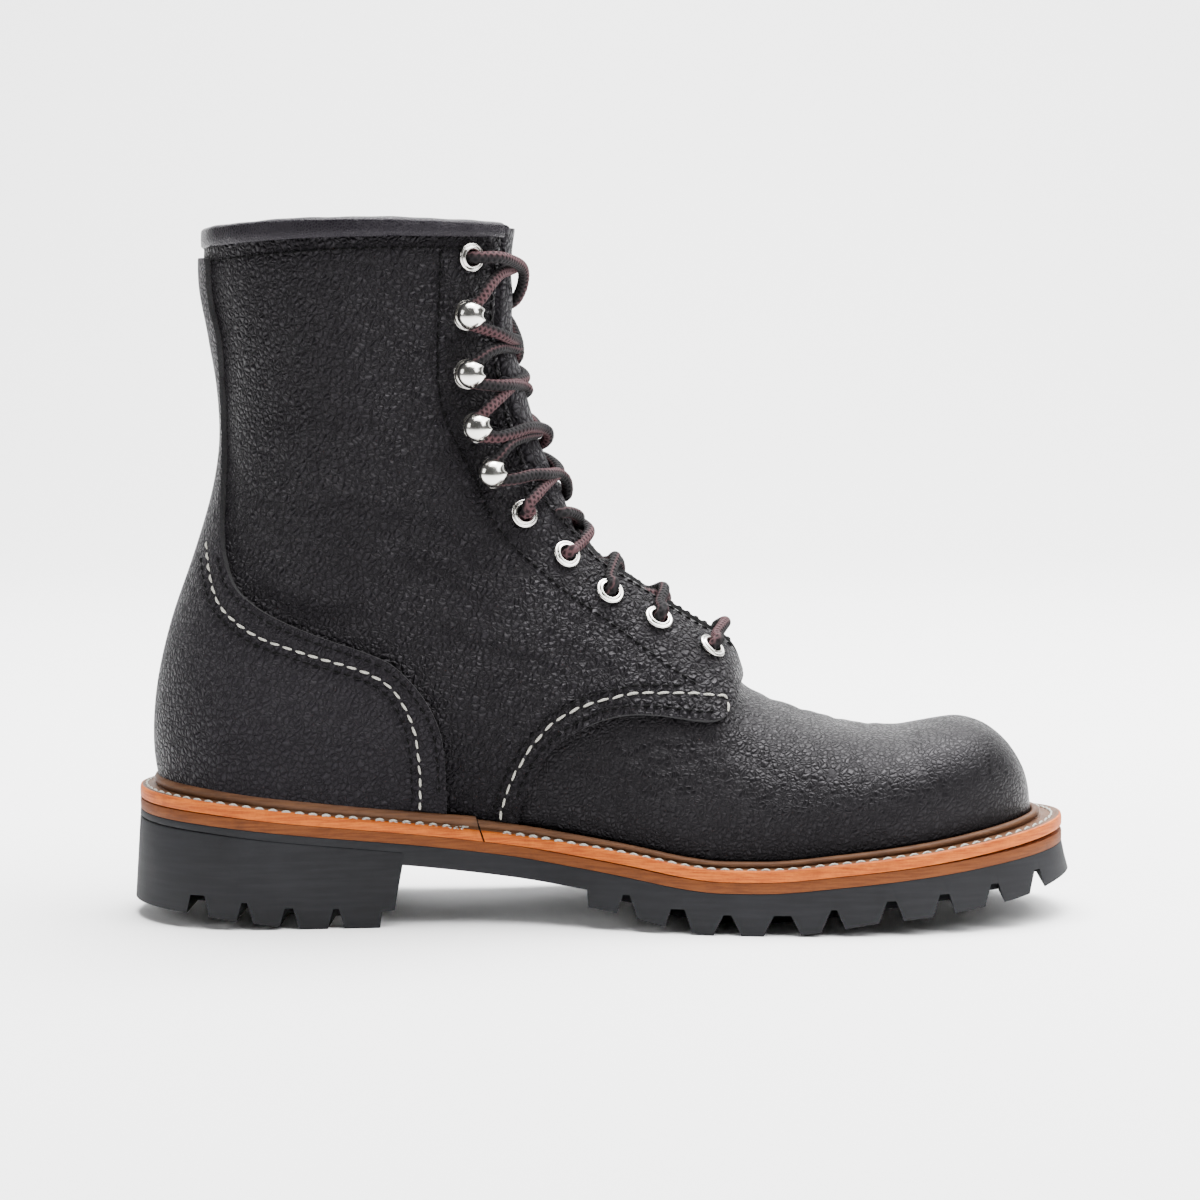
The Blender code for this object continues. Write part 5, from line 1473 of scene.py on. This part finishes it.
def soleBody(name, rows, finish, stop=None):
    # solid between the outline's two sides: rows of reach and height from the bottom up
    n = len(featherLoop)
    half = n // 2
    near = np.arange(0, (stop or half) + 1)
    far = (n - near) % n
    layersOf = [np.column_stack([featherLoop + featherOut * np.reshape(reach, (-1, 1)), height])
                for reach, height in rows]
    stack = np.array([np.vstack([layer[near] for layer in layersOf]).reshape(len(rows), len(near), 3),
                      np.vstack([layer[far] for layer in layersOf[::-1]]).reshape(len(rows), len(near), 3)])
    section = np.vstack([stack[0], stack[1]]).transpose(1, 0, 2)
    points = section.reshape(-1, 3)
    m = 2 * len(rows)
    faces = [face[::-1] for face in sheetFaces(len(near), m, closed=True)]
    if stop:
        faces.append(list(range((len(near) - 1) * m, len(near) * m))[::-1])
    first, faces = merged(points, faces, 4)
    return meshOf(name, points[first], faces, finish)


def prismTool(outline, reach, far=None):
    y0, y1 = reach
    n = len(outline)
    points = [(x, y0, z) for x, z in outline] + [(x, y1, z) for x, z in far or outline]
    faces = [list(range(n)), list(range(2 * n - 1, n - 1, -1))]
    faces += [[(k + 1) % n, k, k + n, (k + 1) % n + n] for k in range(n)]
    return points, faces


def applied(target):
    depsgraph = bpy.context.evaluated_depsgraph_get()
    mesh = bpy.data.meshes.new_from_object(target.evaluated_get(depsgraph))
    target.modifiers.clear()
    target.data = mesh


def carve(target, points, faces):
    mesh = meshData("tool", points, faces)
    mesh.update()
    tool = placed("tool", mesh)
    cutting = target.modifiers.new("cut", "BOOLEAN")
    cutting.object, cutting.operation, cutting.solver = tool, "DIFFERENCE", "EXACT"
    applied(target)
    bpy.data.objects.remove(tool)


def grooves(target, plan):
    # cut in from both sides
    for at, mouth, roof in plan:
        level = float(treadLevel(at))
        slant = (mouth - roof) / 2 / layers["lugDepth"]
        low, high = level - tread["under"], level + layers["lugDepth"]
        wide = mouth / 2 + slant * tread["under"]
        outline = [(at - wide, low), (at + wide, low), (at + roof / 2, high), (at - roof / 2, high)]
        for side in (-1, 1):
            edge = float(centreAt(at, 0) + side * (halfFeather(at, side) + foot("extension", at)))
            inner = edge - side * min(tread["lug"], abs(edge) - 2.0)
            carve(target, *prismTool(outline, sorted((side * 80.0, inner))))


def channelTool():
    # a channel along the inner ends of the forefoot's lugs
    a = featherLoop + featherOut * (extension - tread["lug"])[:, None]
    b = featherLoop + featherOut * (extension - tread["lug"] - tread["channel"])[:, None]
    n = len(a)
    picked = [k for k in range(0, n, 3) if a[k, 0] > 4.0]
    points, faces = [], []
    for k in picked:
        high = float(treadLevel(a[k, 0])) + layers["lugDepth"]
        for x, y in (a[k], b[k]):
            points += [(x, y, -6.0), (x, y, high)]
    for i in range(len(picked) - 1):
        p = 4 * i
        faces += [[p + q, p + r, p + 4 + r, p + 4 + q] for q, r in ((0, 1), (1, 3), (3, 2), (2, 0))]
    end = 4 * len(picked) - 4
    return points, faces + [[0, 2, 3, 1], [end, end + 1, end + 3, end + 2]]


def finished(made, node):
    bevel = made.modifiers.new("edges", "BEVEL")
    bevel.width, bevel.segments, bevel.limit_method, bevel.angle_limit = 0.25 * mm, 2, "ANGLE", radians(40)
    applied(made)
    made.data.shade_smooth()
    made.data.set_sharp_from_angle(angle=radians(35))
    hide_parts(node)


def slanted(y):
    # the breast lies further back toward the outer side
    return tread["breastSlant"] * (y + 38.0)


def waistTool():
    # clears the waist between heel breast and first lug, and the heel's room under the thin lip
    outlines = []
    for y in (-90, 90):
        breast = tread["breastTop"] + slanted(y)
        outline = [(-165.0, -10.0), (tread["stepFoot"], -10.0)]
        for first, layer, final in ((tread["stepTop"], "waistRubber", breast), (breast, "heelLip", -165.0)):
            xs = np.linspace(first, final, 34)
            outline += list(zip(xs, soleLevel(xs) - layers["gap"] - layers[layer]))
        outlines.append(outline)
    return prismTool(outlines[0], (-90, 90), outlines[1])


def treadRow():
    # reach and height of the rubber's lower edge
    reach = extension + layers["rubberFlare"]
    low = featherLoop + featherOut * reach[:, None]
    return reach, treadLevel(low[:, 0])


def rubberSole():
    sole = soleLevel(featherLoop[:, 0]) - layers["gap"] + tread["lipClose"]
    reach, bottom = treadRow()
    rows = [(reach, bottom), (extension + layers["rubberFlare"] * 0.45, (bottom + sole) / 2),
            (extension + 0.1, sole - 0.3), (extension - 0.05, sole)]
    made = soleBody("outsole", rows, rubber)
    carve(made, *waistTool())
    grooves(made, foreGrooves)
    carve(made, *channelTool())
    finished(made, "outsole")


def rubberHeel():
    x = featherLoop[:, 0]
    sole = soleLevel(x) - 2 * layers["gap"] - layers["heelLip"] + tread["lipClose"]
    reach, bottom = treadRow()
    stop = int(np.argmax(x[:len(x) // 2] > tread["breastTop"] + 12))
    rows = [(reach, bottom), (extension + layers["rubberFlare"] * 0.6, bottom + 0.45 * (sole - bottom)),
            (extension + 0.3, sole - 0.6), (extension, sole)]
    made = soleBody("heelBlock", rows, rubber, stop)
    step, top, leanTo = tread["breastStep"], tread["breastTop"], tread["breastFoot"]
    breast = [(top + 40, -4), (top + 40, 30), (top + 2.2, 30), (leanTo, step + 1.5),
              (leanTo - step, step + 1.2), (leanTo - step - 1.2, -4)]
    near, far = ([(x + slanted(y), z) for x, z in breast] for y in (-70, 70))
    carve(made, *prismTool(near, (-70, 70), far))
    grooves(made, heelGrooves)
    finished(made, "heel")


def midsole():
    x = featherLoop[:, 0]
    low, top = soleLevel(x), soleLevel(x) + layers["midsole"] + tread["lipClose"]
    rows = [(extension - 0.1, low), (extension + 0.05, low + 0.2), (extension + 0.1, (low + top) / 2),
            (extension + 0.05, top - 0.2), (extension - 0.1, top)]
    made = soleBody("midsole", rows, midsoleLeather)
    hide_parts("midsole")


def seen(finish, node):
    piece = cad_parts[node]
    piece.data.materials.clear()
    piece.data.materials.append(finish)


weltStitches(welt())
midsole()
rubberSole()
rubberHeel()
seen(insoleLeather, "insole")
print("sole laid")


# Camera, light and floor

view = {"azimuth": 2.0, "height": 197.1, "target": (1.0, 0.0, 102.1), "distance": 1064.0, "roll": -0.5,
        "focal": 3227.0, "photo": 1200, "sensor": 36}


def makeCamera():
    # the focal length is in pixels of the photograph, which is as wide as the sensor
    camera = placed("camera", bpy.data.cameras.new("camera"))
    target = Vector(view["target"])
    rise = asin((view["height"] - target.z) / view["distance"])
    turn = radians(view["azimuth"])
    eye = target + view["distance"] * Vector((sin(turn) * cos(rise), -cos(turn) * cos(rise), sin(rise)))
    camera.location = eye * mm
    facing = (target - eye).to_track_quat("-Z", "Y").to_matrix()
    camera.rotation_euler = (facing @ Matrix.Rotation(radians(view["roll"]), 3, "Z")).to_euler()
    camera.data.lens = view["focal"] / view["photo"] * view["sensor"]
    camera.data.sensor_width = view["sensor"]
    bpy.context.scene.camera = camera


lights = {
    "top": {"at": (0.45, 0.1, 1.5), "aim": (0, 0, 0.08), "size": 1.8, "power": 105},
    "left": {"at": (-1.4, -0.9, 0.8), "aim": (0, 0, 0.1), "size": 0.7, "power": 9},
    "right": {"at": (1.4, -0.7, 1.0), "aim": (0, 0, 0.1), "size": 0.7, "power": 12},
    "backdrop": {"at": (0.0, 0.5, 2.2), "aim": (0, 2.0, 0.2), "size": 1.6, "power": 190}}


worldLight = 0.1


def makeLights():
    for name, facts in lights.items():
        data = bpy.data.lights.new(name, "AREA")
        data.shape, data.size, data.energy = "SQUARE", facts["size"], facts["power"]
        lamp = placed(name, data)
        lamp.location = facts["at"]
        way = Vector(facts["aim"]) - Vector(facts["at"])
        lamp.rotation_euler = way.to_track_quat("-Z", "Y").to_euler()
    world = bpy.data.worlds.new("studio")
    bpy.context.scene.world = world
    world.use_nodes = True
    background = world.node_tree.nodes["Background"].inputs
    background["Color"].default_value = (1, 1, 1, 1)
    background["Strength"].default_value = worldLight


paper = {"wide": 4000.0, "front": -4000.0, "bendAt": 1400.0, "bend": 900.0, "top": 4200.0, "drop": 0.05}


def makeFloor():
    # paper that curves up behind the boot
    f = Finish("pale paper")
    patches = f.noise(400.0, 2.0)
    finish = f.done(Base_Color=f.mix(patches, (0.90, 0.90, 0.90), (0.93, 0.93, 0.93)),
                    Roughness=f.ramp(patches, 0.0, 1.0, 0.8, 0.9))
    low, start, bend = -paper["drop"], paper["bendAt"], paper["bend"]
    profile = [(paper["front"], low), (start, low)]
    profile += [(start + bend * sin(t), low + bend * (1 - cos(t))) for t in np.linspace(0.1, pi / 2, 14)]
    profile.append((start + bend, paper["top"]))
    points = [(x, y, z) for y, z in profile for x in (-paper["wide"], paper["wide"])]
    faces = [[2 * k, 2 * k + 1, 2 * k + 3, 2 * k + 2] for k in range(len(profile) - 1)]
    mesh = meshData("floor", points, faces)
    mesh.materials.append(finish)
    mesh.shade_smooth()
    floor = placed("floor", mesh)


makeCamera()
makeLights()
makeFloor()
print("studio set")
